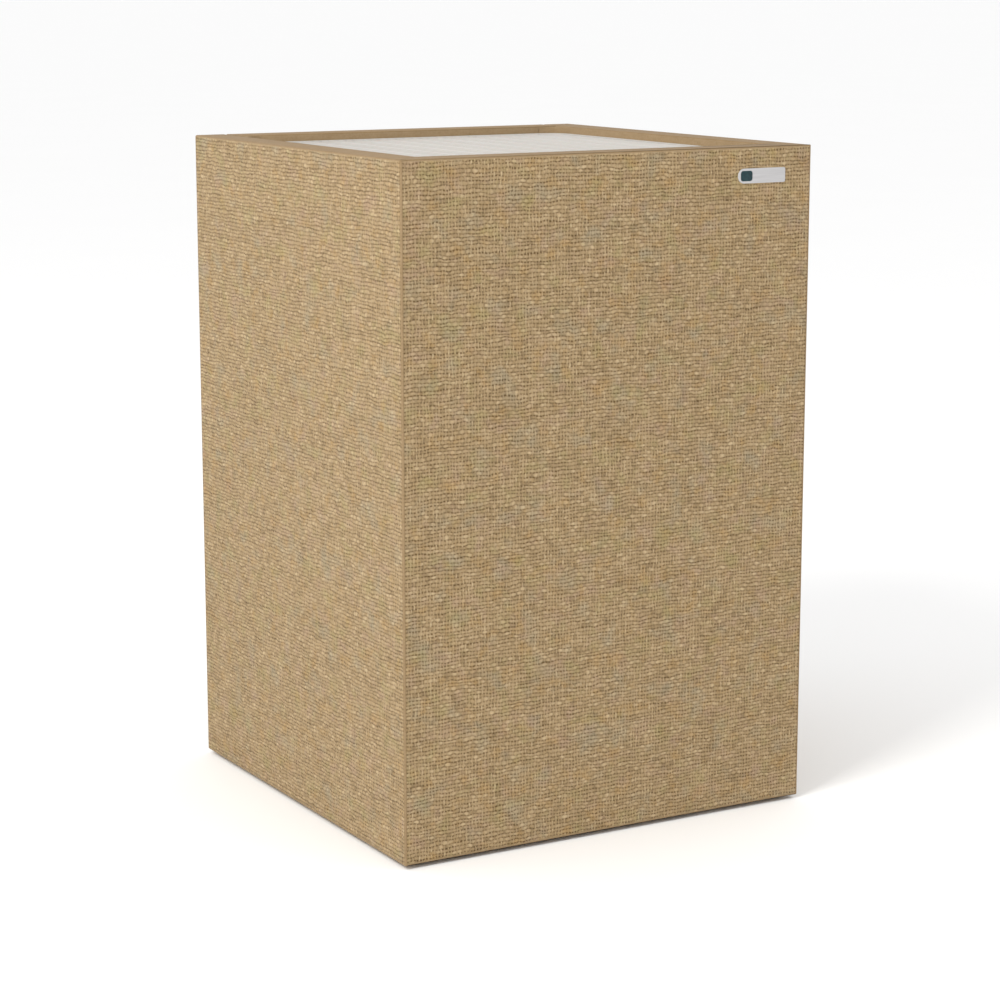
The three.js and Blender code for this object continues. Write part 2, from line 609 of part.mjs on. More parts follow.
function fanDeck() {
  const notch = POST_LEG + 1;
  const corner = (sx, y) => {
    const x = [sx * (FRAME_X + 1), sx * (FRAME_X - notch)].sort((a, b) => a - b);
    return box(x, y, [DECK_LEVEL - 1, DECK_TOP + 1]);
  };
  const front = [FRAME_FRONT - 1, FRAME_FRONT + notch];
  const rear = [FRAME_REAR - notch, FRAME_REAR + 1];
  const plate = box([-FRAME_X, FRAME_X], [FRAME_FRONT, FRAME_REAR], [DECK_LEVEL, DECK_TOP]);
  const hole = disc(THROAT_RADIUS + 20, [DECK_LEVEL - 1, DECK_TOP + 1], 48);
  const shape = cut(plate, hole, corner(-1, front), corner(1, front), corner(-1, rear), corner(1, rear));
  return piece("fan_deck", shape, ZINC_FINISH);
}

// A rolled bellmouth whose throat reaches into the impeller's eye.
function inletRing() {
  const base = DECK_TOP + TOUCH;
  const throat = WHEEL_BOTTOM + 4;
  const bend = 18;
  const thick = 1.5;
  const outer = [];
  const inner = [];
  const steps = 4;
  for (let n = 0; n <= steps; n += 1) {
    const angle = (n / steps) * (Math.PI / 2);
    const [c, s] = [Math.cos(angle), Math.sin(angle)];
    outer.push([THROAT_RADIUS + bend - (bend - thick) * s, base + bend - (bend - thick) * c]);
    inner.push([THROAT_RADIUS + bend - bend * s, base + bend - bend * c]);
  }
  const rimOut = THROAT_RADIUS + 32;
  const profile = [
    [rimOut, base],
    [rimOut, base + thick],
    ...outer,
    [THROAT_RADIUS + thick, throat],
    [THROAT_RADIUS, throat],
    ...inner.reverse(),
  ];
  return piece("inlet_ring", turn(profile, 32), ZINC_FINISH);
}

// One backward-curved blade as a plan outline, between the eye and the rim.
function bladePlan() {
  const innerRadius = EYE_RADIUS - 14;
  const outerRadius = IMPELLER_RADIUS - 3;
  const sweep = THREE.MathUtils.degToRad(46);
  const steps = 6;
  const edge = (offset) => {
    const points = [];
    for (let n = 0; n <= steps; n += 1) {
      const share = n / steps;
      const radius = innerRadius + share * (outerRadius - innerRadius);
      const angle = -sweep * share ** 0.8 + offset / radius;
      points.push([radius * Math.cos(angle), radius * Math.sin(angle)]);
    }
    return points;
  };
  return outline([...edge(-BLADE_THICKNESS / 2), ...edge(BLADE_THICKNESS / 2).reverse()]);
}

function impeller() {
  const collar = WHEEL_BOTTOM + 8;
  const shroudOut = collar + SHROUD_RISE;
  const backPlate = tube(IMPELLER_RADIUS, 20, [WHEEL_TOP - WHEEL_SHEET, WHEEL_TOP], 48);
  const shroud = turn(
    [
      [EYE_RADIUS, WHEEL_BOTTOM],
      [EYE_RADIUS + WHEEL_SHEET, WHEEL_BOTTOM],
      [EYE_RADIUS + WHEEL_SHEET, collar],
      [IMPELLER_RADIUS, shroudOut],
      [IMPELLER_RADIUS, shroudOut + WHEEL_SHEET],
      [EYE_RADIUS, collar + WHEEL_SHEET],
    ],
    48,
  );
  const envelope = turn(
    [
      [0, collar + 1],
      [EYE_RADIUS + 1, collar + 1],
      [IMPELLER_RADIUS, shroudOut + 1],
      [IMPELLER_RADIUS, WHEEL_TOP - 1],
      [0, WHEEL_TOP - 1],
    ],
    48,
  );
  const blades = [];
  for (let n = 0; n < BLADE_COUNT; n += 1) {
    const blade = raise(bladePlan(), [WHEEL_BOTTOM, WHEEL_TOP]).intersect(envelope);
    blades.push(blade.rotate([0, 0, (n * 360) / BLADE_COUNT]));
  }
  return piece("impeller", join(backPlate, shroud, ...blades), BLACK_FINISH);
}

const CUP_BOTTOM = WHEEL_TOP + TOUCH;
const CUP_TOP = CUP_BOTTOM + MOTOR_HEIGHT;
const BORE = BEARING_RADIUS + TOUCH;
const STATOR_BOTTOM = CUP_BOTTOM + 7;
const STATOR_TOP = CUP_TOP + 8;

function motor() {
  const wall = 3.5;
  const rotor = turn(
    [
      [SHAFT_RADIUS + TOUCH, CUP_BOTTOM],
      [MOTOR_RADIUS, CUP_BOTTOM],
      [MOTOR_RADIUS, CUP_TOP],
      [MOTOR_RADIUS - wall, CUP_TOP],
      [MOTOR_RADIUS - wall, CUP_BOTTOM + wall],
      [SHAFT_RADIUS + TOUCH, CUP_BOTTOM + wall],
    ],
    40,
  );
  const lipRadius = BEARING_RADIUS - 3;
  const middle = (STATOR_BOTTOM + STATOR_TOP) / 2;
  const stator = turn(
    [
      [BORE, STATOR_BOTTOM],
      [MOTOR_RADIUS - wall - 2, STATOR_BOTTOM],
      [MOTOR_RADIUS - wall - 2, CUP_TOP + 2],
      [MOTOR_RADIUS + 4, CUP_TOP + 2],
      [MOTOR_RADIUS + 4, STATOR_TOP],
      [BORE, STATOR_TOP],
      [BORE, middle + 2],
      [lipRadius, middle + 2],
      [lipRadius, middle - 2],
      [BORE, middle - 2],
    ],
    40,
  );
  const shaft = disc(SHAFT_RADIUS, [WHEEL_TOP - 6, STATOR_TOP - 2], 24);
  const bearing = (low) => tube(BEARING_RADIUS, SHAFT_RADIUS + TOUCH, [low, low + BEARING_WIDTH], 24);
  return group(
    piece("motor_rotor", rotor, POWDER_FINISH),
    piece("motor_stator", stator, COPPER_FINISH),
    piece("motor_shaft", shaft, STEEL_FINISH),
    piece("bearing_lower", bearing(middle - 2 - TOUCH - BEARING_WIDTH), STEEL_FINISH),
    piece("bearing_upper", bearing(middle + 2 + TOUCH), STEEL_FINISH),
  );
}

const ARM_ANGLES = [90, 210, 330];

// A spider over the motor, with a bent leg down to an isolator at each end.
function motorBracket() {
  const low = STATOR_TOP + TOUCH;
  const sheet = 3;
  const hub = disc(MOTOR_RADIUS + 6, [low, low + sheet], 32);
  const arm = box([0, LEG_REACH], [-16, 16], [low, low + sheet]);
  const leg = box([LEG_REACH - sheet, LEG_REACH], [-16, 16], [BRACKET_LEVEL, low + sheet]);
  const pad = box([LEG_REACH - 28, LEG_REACH], [-16, 16], [BRACKET_LEVEL, BRACKET_LEVEL + sheet]);
  const armed = ARM_ANGLES.map((angle) => join(arm, leg, pad).rotate([0, 0, angle]));
  const leadHole = disc(12, [low - 1, low + sheet + 1], 20);
  return piece("motor_bracket", cut(join(hub, ...armed), leadHole), POWDER_FINISH);
}

function isolators() {
  const names = ["rear", "front_left", "front_right"];
  const reach = LEG_REACH - 14;
  const waist = 9;
  const profile = [
    [0, 0],
    [11, 0],
    [11, 3],
    [waist, 5],
    [waist, ISOLATOR_HEIGHT - 5],
    [11, ISOLATOR_HEIGHT - 3],
    [11, ISOLATOR_HEIGHT],
    [0, ISOLATOR_HEIGHT],
  ];
  const mounts = names.map((name, n) => {
    const mesh = piece(`isolator_${name}`, turn(profile, 20), RUBBER_FINISH);
    const angle = THREE.MathUtils.degToRad(ARM_ANGLES[n]);
    mesh.position.set(reach * Math.cos(angle), reach * Math.sin(angle), DECK_TOP + TOUCH);
    return mesh;
  });
  return group(...mounts);
}

// One foam strip folded round the left, front and right of the fan chamber.
function acousticLining() {
  const outX = FRAME_X - SHEET - TOUCH;
  const outFront = FRAME_FRONT + SHEET + TOUCH;
  const end = FRAME_REAR - POST_LEG - TOUCH;
  const shape = outline([
    [-outX, outFront],
    [outX, outFront],
    [outX, end],
    [outX - LINING, end],
    [outX - LINING, outFront + LINING],
    [-outX + LINING, outFront + LINING],
    [-outX + LINING, end],
    [-outX, end],
  ]);
  return piece("acoustic_lining", raise(shape, [DECK_TOP + TOUCH, POST_TOP - 16]), FOAM_FINISH);
}

// The motor's lead: out of the control box, up behind the right rail and over the bracket to the hub.
function motorLead() {
  const boxTop = BOTTOM + SHEET + TOUCH + BOX_HEIGHT;
  const x = FRAME_X - LEAD_FROM_SIDE;
  const y = FRAME_REAR - POST_LEG + 6;
  const over = STATOR_TOP + TOUCH + 3 + TOUCH + LEAD_RADIUS + 1;
  const route = [
    [LEAD_EXIT_X, LEAD_EXIT_Y, boxTop - 8],
    [LEAD_EXIT_X, LEAD_EXIT_Y, boxTop + 40],
    [x - 28, y - 5, boxTop + 80],
    [x - 1, y, FILTER_LEVEL - 40],
    [x, y, FILTER_LEVEL + 60],
    [x, y, DECK_LEVEL - 60],
    [x - 2, y, DECK_TOP + 60],
    [x - 30, y - 8, over - 10],
    [120, 135, over + 6],
    [60, 60, over + 3],
    [14, 14, over + 2],
    [0, 0, over - 4],
    [0, 0, STATOR_TOP - LEAD_RADIUS + 5],
  ];
  const curve = new THREE.CatmullRomCurve3(route.map((p) => new THREE.Vector3(...p)), false, "centripetal");
  const section = new THREE.Shape();
  section.absarc(0, 0, LEAD_RADIUS, 0, 2 * Math.PI, false);
  const swept = new THREE.ExtrudeGeometry(section, { steps: 52, curveSegments: 4, extrudePath: curve });
  return piece("motor_lead", solid(swept), RUBBER_FINISH);
}

// ---------- rear door ----------

const KNUCKLE = HINGE_LENGTH / 3;

// Room in the door's corner for one hinge: the knuckle's notch and the leaf's mortise.
function hingeNotch(level) {
  const z = [level - HINGE_LENGTH / 2 - 1, level + HINGE_LENGTH / 2 + 1];
  const reach = HINGE_INSET + HINGE_KNUCKLE + 1.5;
  const corner = box([-DOOR_HALF - 1, -DOOR_HALF + reach], [HALF_D - reach, HALF_D + 1], z);
  const mortise = box([-DOOR_HALF - 1, -DOOR_HALF + HINGE_LEAF + 2 * TOUCH], [INNER_Y + 5, HALF_D - reach + 1], z);
  return corner.add(mortise);
}

function rearDoor() {
  const level = (inset) => [DOOR_BOTTOM + inset, RIM - inset];
  const notches = Object.values(HINGE_LEVELS).map(hingeNotch);
  const half = DOOR_HALF - RETURN;
  const window = box([-half, half], [INNER_Y - 1, INNER_Y + 2 * CLOTH], [INTAKE_TOP + RETURN, RIM - RIM_RETURN]);
  const x = [-INTAKE_WIDTH / 2, INTAKE_WIDTH / 2];
  const intake = box(x, [INNER_Y - 1, HALF_D + 1], [INTAKE_BOTTOM, INTAKE_TOP]);
  const cavity = raise(doorPlan(CLOTH), level(CLOTH));
  const cover = cut(raise(doorPlan(0), level(0)), cavity, window, intake, ...notches);
  const core = cut(raise(doorPlan(CLOTH + TOUCH), level(CLOTH + TOUCH)), intake, ...notches);
  return group(piece("door_board", core, BOARD_FINISH), piece("door_cover", cover, CLOTH_FINISH));
}

// Slanted louvres in a frame that fills the door's intake.
function intakeGrille() {
  const x = [-INTAKE_WIDTH / 2 + TOUCH, INTAKE_WIDTH / 2 - TOUCH];
  const z = [INTAKE_BOTTOM + TOUCH, INTAKE_TOP - TOUCH];
  const y = [INNER_Y + 14, HALF_D - 1];
  const border = 6;
  const inside = box([x[0] + border, x[1] - border], [y[0] - 1, y[1] + 1], [z[0] + border, z[1] - border]);
  const frame = cut(box(x, y, z), inside);
  const count = Math.floor((z[1] - z[0] - 2 * border) / LOUVRE_PITCH);
  const first = (z[0] + z[1]) / 2 - ((count - 1) * LOUVRE_PITCH) / 2;
  const louvres = [];
  for (let n = 0; n < count; n += 1) {
    const blade = box([x[0] + 2, x[1] - 2], [-12, 12], [-1.1, 1.1]).rotate([-35, 0, 0]);
    louvres.push(blade.translate([0, (y[0] + y[1]) / 2, first + n * LOUVRE_PITCH]));
  }
  const mullion = (middle) => box([middle - 2, middle + 2], [y[0] + 2, y[1] - 4], [z[0] + 2, z[1] - 2]);
  return piece("intake_grille", join(frame, ...louvres, mullion(-INTAKE_WIDTH / 6), mullion(INTAKE_WIDTH / 6)), POWDER_FINISH);
}

// A butt hinge about its own pin: fixed leaf on the side wall, door leaf in the door's edge.
function buttHinge(name, level) {
  const ring = (low, high) => tube(HINGE_KNUCKLE, HINGE_PIN + TOUCH, [low, high], 24);
  const bore = disc(HINGE_PIN + TOUCH, [-HINGE_LENGTH, HINGE_LENGTH], 24);
  const end = HINGE_LENGTH / 2;
  const band = KNUCKLE / 2 - TOUCH;
  const fixedX = -(INNER_X - TOUCH) - HINGE_X;
  const leafBack = INNER_Y + 6 - HINGE_Y;
  const web = (z) => box([fixedX, -1], [-1, 1], z);
  const fixedLeaf = join(
    box([fixedX, fixedX + HINGE_LEAF], [leafBack, 1], [-end, end]),
    ring(KNUCKLE / 2, end),
    ring(-end, -KNUCKLE / 2),
    web([KNUCKLE / 2, end]),
    web([-end, -KNUCKLE / 2]),
  );
  const doorX = -HINGE_INSET + TOUCH;
  const doorLeaf = join(
    box([doorX, doorX + HINGE_LEAF], [leafBack, -HINGE_INSET - 1], [-end, end]),
    box([doorX, doorX + HINGE_LEAF], [-HINGE_INSET - 2, 0], [-band, band]),
    ring(-band, band),
  );
  const hinge = group(
    piece(`hinge_${name}_fixed_leaf`, cut(fixedLeaf, bore), ZINC_FINISH),
    piece(`hinge_${name}_door_leaf`, cut(doorLeaf, bore), ZINC_FINISH),
    piece(`hinge_${name}_pin`, disc(HINGE_PIN, [-end - 1, end + 1], 24), STEEL_FINISH),
  );
  hinge.position.set(HINGE_X, HINGE_Y, level);
  return hinge;
}

// Magnetic catch on the right rear post, and its strike plate on the door's inner face.
function doorCatch() {
  const x = [FRAME_X - POST_LEG - 14, FRAME_X - POST_LEG - 1];
  const middle = POST_TOP - CATCH_FROM_TOP;
  const z = [middle - 22, middle + 22];
  const y = [FRAME_REAR - 14, FRAME_REAR];
  const magnet = box(x, y, z);
  const tab = box([x[1] - 1, FRAME_X - SHEET - TOUCH], [FRAME_REAR - SHEET - TOUCH - 1.5, FRAME_REAR - SHEET - TOUCH], z);
  const strike = box([x[0] - 2, x[1] + 2], [INNER_Y - 1.3, INNER_Y - TOUCH], [z[0] - 3, z[1] + 3]);
  return group(
    piece("door_catch", magnet.add(tab), RUBBER_FINISH),
    piece("strike_plate", strike, STEEL_FINISH),
  );
}

// ---------- the whole object ----------

const purifier = group(
  frontWall(),
  sideWall("left", -1),
  sideWall("right", 1),
  badge(),
  chassis(),
  outletGrille(),
  servicePanel(),
  mainsInlet(),
  fuseDrawer(),
  powerSwitch(),
  speedKnob(),
  controlBox(),
  particleSensor(),
  filterRail("filter_rail_left", -1),
  filterRail("filter_rail_right", 1),
  prefilter(),
  carbonFilter(),
  fineFilter(),
  fanDeck(),
  inletRing(),
  impeller(),
  motor(),
  motorBracket(),
  isolators(),
  acousticLining(),
  motorLead(),
  rearDoor(),
  intakeGrille(),
  buttHinge("lower", HINGE_LEVELS.lower),
  buttHinge("upper", HINGE_LEVELS.upper),
  doorCatch(),
);

export default purifier;
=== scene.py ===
# %% [markdown]
# # An air purifier wrapped in hopsack cloth
# The cabinet is a box of wrapped boards on a steel chassis. Its metal and plastic parts come from the
# CAD model, and this lesson gives them their finishes, then makes the cloth, the white outlet grille
# and the small fixings in Blender. Everything is in metres: +Z is up and the front faces -Y.

# %% The frame
import json
import math
import bmesh
import bpy
import numpy as np
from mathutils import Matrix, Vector


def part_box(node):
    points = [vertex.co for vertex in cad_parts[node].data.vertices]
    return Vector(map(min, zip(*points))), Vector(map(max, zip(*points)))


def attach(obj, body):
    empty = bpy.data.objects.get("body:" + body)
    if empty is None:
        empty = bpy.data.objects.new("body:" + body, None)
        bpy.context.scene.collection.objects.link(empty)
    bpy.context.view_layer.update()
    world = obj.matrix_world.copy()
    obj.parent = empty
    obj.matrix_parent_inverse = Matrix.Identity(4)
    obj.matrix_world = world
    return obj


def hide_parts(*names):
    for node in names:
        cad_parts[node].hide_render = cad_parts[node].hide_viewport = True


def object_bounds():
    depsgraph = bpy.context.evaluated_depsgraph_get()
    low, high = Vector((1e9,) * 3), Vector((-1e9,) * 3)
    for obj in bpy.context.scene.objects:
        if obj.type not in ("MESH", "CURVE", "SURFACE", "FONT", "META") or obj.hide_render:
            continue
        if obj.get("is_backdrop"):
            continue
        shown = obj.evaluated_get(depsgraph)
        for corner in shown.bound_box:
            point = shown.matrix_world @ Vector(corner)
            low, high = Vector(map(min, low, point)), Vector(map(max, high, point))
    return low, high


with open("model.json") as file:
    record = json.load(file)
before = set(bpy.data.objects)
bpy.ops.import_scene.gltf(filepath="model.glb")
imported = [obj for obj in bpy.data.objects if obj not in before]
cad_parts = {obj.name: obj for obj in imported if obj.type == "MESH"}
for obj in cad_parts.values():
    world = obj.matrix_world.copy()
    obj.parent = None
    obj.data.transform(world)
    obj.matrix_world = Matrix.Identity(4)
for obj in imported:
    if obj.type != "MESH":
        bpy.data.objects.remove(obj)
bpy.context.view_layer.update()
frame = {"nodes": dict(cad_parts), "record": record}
NODES = frame["nodes"]

# %% [markdown]
# ## Working by hand, in code
# Every operator acts on whatever is selected, so each step starts by deselecting all. These few helpers
# do what a modeller's hands do: pick a piece, pick some of its faces or edges by where they are, and
# apply a modifier. A finished piece keeps its object at the origin, with its place in its mesh.

# %% Picking pieces, faces and edges
def nothing_selected():
    bpy.ops.object.select_all(action="DESELECT")


def take_up(piece):
    nothing_selected()
    piece.select_set(True)
    bpy.context.view_layer.objects.active = piece
    return piece


def named(name, size=None):
    """Names the primitive just added, stretches it to its size and puts its place in its mesh."""
    piece = bpy.context.object
    if size is not None:
        piece.scale = size
    piece.name = name
    piece.data.name = name
    bpy.ops.object.transform_apply(location=True, rotation=True, scale=True)
    return piece


def edit(piece, kind="FACE"):
    take_up(piece)
    bpy.ops.object.mode_set(mode="EDIT")
    bpy.ops.mesh.select_mode(type=kind)
    bpy.ops.mesh.select_all(action="DESELECT")


def everything():
    bpy.ops.mesh.select_all(action="SELECT")


def done():
    bpy.ops.object.mode_set(mode="OBJECT")


def choose(piece, test, kind="FACE"):
    """In edit mode, selects the faces or edges whose middle (and normal, for a face) passes the test."""
    bpy.ops.mesh.select_mode(type=kind)
    bpy.ops.mesh.select_all(action="DESELECT")
    mesh = bmesh.from_edit_mesh(piece.data)
    if kind == "FACE":
        for face in mesh.faces:
            face.select_set(bool(test(face.calc_center_median(), face.normal)))
    else:
        for edge in mesh.edges:
            ends = [vertex.co for vertex in edge.verts]
            edge.select_set(bool(test((ends[0] + ends[1]) / 2, (ends[1] - ends[0]).normalized())))
    mesh.select_flush_mode()
    bmesh.update_edit_mesh(piece.data)


def drawn_out(*move):
    """Extrudes what is selected, and moves the new part."""
    bpy.ops.mesh.extrude_region_move()
    bpy.ops.transform.translate(value=move)


def faced_out():
    """Turns every face outwards, and leaves edit mode."""
    everything()
    bpy.ops.mesh.normals_make_consistent(inside=False)
    done()


def apply_modifier(piece, kind, **settings):
    take_up(piece)
    modifier = piece.modifiers.new(kind.title(), kind)
    for name, value in settings.items():
        setattr(modifier, name, value)
    bpy.ops.object.modifier_apply(modifier=modifier.name)


def smoothed(piece, angle=40):
    """Shades the piece smooth, but for the edges that turn by more than the angle."""
    take_up(piece)
    bpy.ops.object.shade_smooth_by_angle(angle=math.radians(angle))
    return piece


def soften(piece, width, segments=2, angle=30):
    """Rounds the hard edges, then shades the piece smooth between them."""
    apply_modifier(piece, "BEVEL", width=width, segments=segments, limit_method="ANGLE",
                   angle_limit=math.radians(angle))
    return smoothed(piece)


def block(name, low, high, edge=0.0, segments=2):
    """A bar or block between two corners, with its edges eased."""
    nothing_selected()
    low, high = Vector(low), Vector(high)
    bpy.ops.mesh.primitive_cube_add(size=1, location=(low + high) / 2)
    piece = named(name, high - low)
    return soften(piece, edge, segments) if edge else piece


def copy_of(piece, name, move=(0, 0, 0)):
    take_up(piece)
    bpy.ops.object.duplicate(linked=False)
    bpy.ops.transform.translate(value=move)
    return named(name)


def as_one(name, pieces):
    take_up(pieces[0])
    for piece in pieces:
        piece.select_set(True)
    if len(pieces) > 1:
        bpy.ops.object.join()
    return named(name)


def turned(piece, angle, axis="Z", about=(0, 0, 0)):
    """Turns the piece's mesh about a point: a positive angle is anticlockwise, looking against the axis."""
    take_up(piece)
    piece.rotation_euler = [angle if axis == letter else 0 for letter in "XYZ"]
    turn = piece.rotation_euler.to_matrix()
    piece.location = Vector(about) - turn @ Vector(about)
    bpy.ops.object.transform_apply(location=True, rotation=True, scale=True)
    return piece


def triangles(piece):
    return sum(len(face.vertices) - 2 for face in piece.data.polygons)


# %% [markdown]
# ## The camera
# It stands to the left of the front at eye level for someone sitting, and looks slightly down, with a
# long lens that keeps the upright edges nearly parallel.

# %% Camera
bpy.ops.object.camera_add(location=(-1.634, -2.833, 0.994),
                          rotation=(math.radians(78.98), 0, math.radians(-30.11)))
camera = bpy.context.object
camera.name = "eye"
camera.data.lens = 95.8
camera.data.sensor_width = 36
bpy.context.scene.camera = camera
print("camera at", tuple(camera.location))

# %% [markdown]
# ## Light and floor
# A white studio: an even sky, one large soft lamp high on the left that makes the left side the
# brighter one, and a pale floor. The lamp is a little warm, and far enough round to graze the front,
# which is what shows the threads of the cloth.

# %% Sky, lamp and floor
scene = bpy.context.scene
scene.view_settings.view_transform = "Standard"
scene.view_settings.look = "None"
world = bpy.data.worlds.new("studio_sky")
scene.world = world
world.use_nodes = True
world.node_tree.nodes["Background"].inputs["Color"].default_value = (1.0, 1.0, 1.0, 1)
world.node_tree.nodes["Background"].inputs["Strength"].default_value = 1.0

nothing_selected()
bpy.ops.object.light_add(type="AREA", location=(-3.4, -1.5, 3.4))
lamp = bpy.context.object
lamp.name = "key_lamp"
lamp.data.shape = "SQUARE"
lamp.data.size = 1.4
lamp.data.energy = 113
lamp.data.color = (1.0, 0.98, 0.93)
middle_of_box = Vector((0, 0, 0.4))
lamp.rotation_euler = (middle_of_box - lamp.location).to_track_quat("-Z", "Y").to_euler()

# %% [markdown]
# ## Building a finish from nodes
# A finish is one Principled shader with small procedural details fed to its colour, roughness and
# normal. These helpers add a node, link what is a socket and set what is a plain value, so that each
# recipe below reads as a list of what the surface has.

# %% Node helpers
def put(tree, kind, values=None, **settings):
    node = tree.nodes.new("ShaderNode" + kind)
    for name, value in settings.items():
        setattr(node, name, value)
    for name, value in (values or {}).items():
        if isinstance(value, bpy.types.NodeSocket):
            tree.links.new(value, node.inputs[name])
        else:
            node.inputs[name].default_value = value
    return node


def sums(tree, operation, *values):
    return put(tree, "Math", dict(enumerate(values)), operation=operation).outputs[0]


def times(tree, first, second):
    return sums(tree, "MULTIPLY", first, second)


def noise(tree, at, scale, detail=2.0, roughness=0.5, stretch=(1, 1, 1)):
    if stretch != (1, 1, 1):
        at = put(tree, "Mapping", {"Vector": at, "Scale": stretch}).outputs[0]
    values = {"Vector": at, "Scale": scale, "Detail": detail, "Roughness": roughness}
    return put(tree, "TexNoise", values).outputs["Fac"]


def spread(tree, value, low, high, to_low=0.0, to_high=1.0):
    """Stretches a value's range, clamped at both ends. Nearly all of a noise lies from 0.3 to 0.7."""
    values = {"Value": value, "From Min": low, "From Max": high, "To Min": to_low, "To Max": to_high}
    return put(tree, "MapRange", values).outputs[0]


def blend_colours(tree, share, first, second, how="MIX"):
    node = put(tree, "Mix", {0: share}, data_type="RGBA", blend_type=how)
    for number, colour in ((6, first), (7, second)):
        if isinstance(colour, bpy.types.NodeSocket):
            tree.links.new(colour, node.inputs[number])
        else:
            node.inputs[number].default_value = (*colour, 1)
    return node.outputs[2]


def mottled(tree, value, first, second, low=0.3, high=0.7, most=1.0):
    """Goes from the first colour to the second as the value goes from low to high."""
    return blend_colours(tree, spread(tree, value, low, high, 0.0, most), first, second)


def bumped(tree, height, distance, strength=1.0):
    return put(tree, "Bump", {"Height": height, "Distance": distance, "Strength": strength}).outputs[0]


def finish(name, recipe):
    """A new material whose recipe fills in its Principled shader."""
    material = bpy.data.materials.new(name)
    material.use_nodes = True
    tree = material.node_tree
    shader = tree.nodes["Principled BSDF"]
    place = put(tree, "TexCoord").outputs["Object"]
    for socket, value in recipe(tree, place).items():
        if isinstance(value, bpy.types.NodeSocket):
            tree.links.new(value, shader.inputs[socket])
        elif socket == "Base Color":
            shader.inputs[socket].default_value = (*value, 1)
        else:
            shader.inputs[socket].default_value = value
    return material


def wear(piece, *materials):
    piece.data.materials.clear()
    for material in materials:
        piece.data.materials.append(material)


def thrown_away(*pieces):
    nothing_selected()
    for piece in pieces:
        piece.select_set(True)
    bpy.ops.object.delete()


def dressed(piece, material, body):
    """Gives a finished piece its material and the body it rides on."""
    wear(piece, material)
    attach(piece, body)
    return piece


# %% The floor
nothing_selected()
bpy.ops.mesh.primitive_plane_add(size=400, location=(0, 0, 0))
floor = named("studio_floor")
floor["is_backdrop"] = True


def floor_recipe(tree, place):
    cloudy = noise(tree, place, 1.5, 3)
    return {"Base Color": blend_colours(tree, cloudy, (0.96, 0.96, 0.96), (0.975, 0.975, 0.975)),
            "Roughness": 0.9, "Specular IOR Level": 0.1}


wear(floor, finish("pale_floor", floor_recipe))

# %% [markdown]
# ## Hopsack
# The cloth is a thick, loosely even hopsack. Fat weft rows lie across it every 4.4 mm, and finer warp
# threads cross them every 4.2 mm, over one and under the next. The yarn is mottled: straw and ochre,
# with strands that lean to grey-blue, pink or olive. The rows show as long light dashes with short
# dark gaps between them, and no row runs quite straight. The threads could be bump alone, but raking
# light then gives them no shadow, so the mesh itself rises and falls with them, and the finish adds
# what is finer: each thread's round back as bump, with shade painted into the gaps and a highlight
# painted on each crown, its strands and its colour. Both count threads in the same map, so they stay
# together where the mesh wanders.

# %% Thread pitch and the height of the weave
WARP, WEFT = 0.00416, 0.0044
CLOTH_MAP = "threads"


def crossings(tree, at):
    """The height of the cloth over the thread map, and how far the thread on top is a warp thread."""
    split = put(tree, "SeparateXYZ", {0: at})
    u, v = split.outputs[0], split.outputs[1]
    column, row = sums(tree, "FLOOR", u), sums(tree, "FLOOR", v)
    in_u, in_v = sums(tree, "FRACT", u), sums(tree, "FRACT", v)
    under = sums(tree, "MODULO", sums(tree, "ADD", column, row), 2.0)
    over = sums(tree, "MULTIPLY_ADD", under, -2.0, 1.0)

    def wave(along, half_turn):
        """How a thread rises over one crossing and dips under the next."""
        return times(tree, sums(tree, "SINE", times(tree, along, half_turn)), over)

    def back(across, half_width, top, power):
        """The round back of a thread, across it."""
        off_middle = sums(tree, "ABSOLUTE", sums(tree, "MULTIPLY_ADD", across, 2.0, -1.0))
        fall = sums(tree, "POWER", sums(tree, "DIVIDE", off_middle, half_width), power)
        return sums(tree, "SUBTRACT", top, fall)

    fatness = spread(tree, noise(tree, at, 0.4, 1, 0.5, (0.5, 2.2, 1)), 0.3, 0.7, 0.70, 1.05)
    weft_wave, warp_wave = wave(in_u, math.pi), wave(in_v, -math.pi)
    weft_back, warp_back = back(in_v, fatness, 1.0, 2.4), back(in_u, 0.55, 0.8, 2.0)
    warp_lead = spread(tree, noise(tree, at, 0.13), 0.38, 0.62, -0.16, 0.36)
    weft_top = sums(tree, "MULTIPLY_ADD", weft_wave, 0.32, weft_back)
    warp_top = sums(tree, "MULTIPLY_ADD", warp_wave, 0.42, sums(tree, "ADD", warp_back, warp_lead))
    height = sums(tree, "MAXIMUM", sums(tree, "MAXIMUM", weft_top, warp_top), -0.6)
    on_warp = spread(tree, sums(tree, "SUBTRACT", warp_top, weft_top), -0.08, 0.08)
    return u, v, column, row, height, on_warp


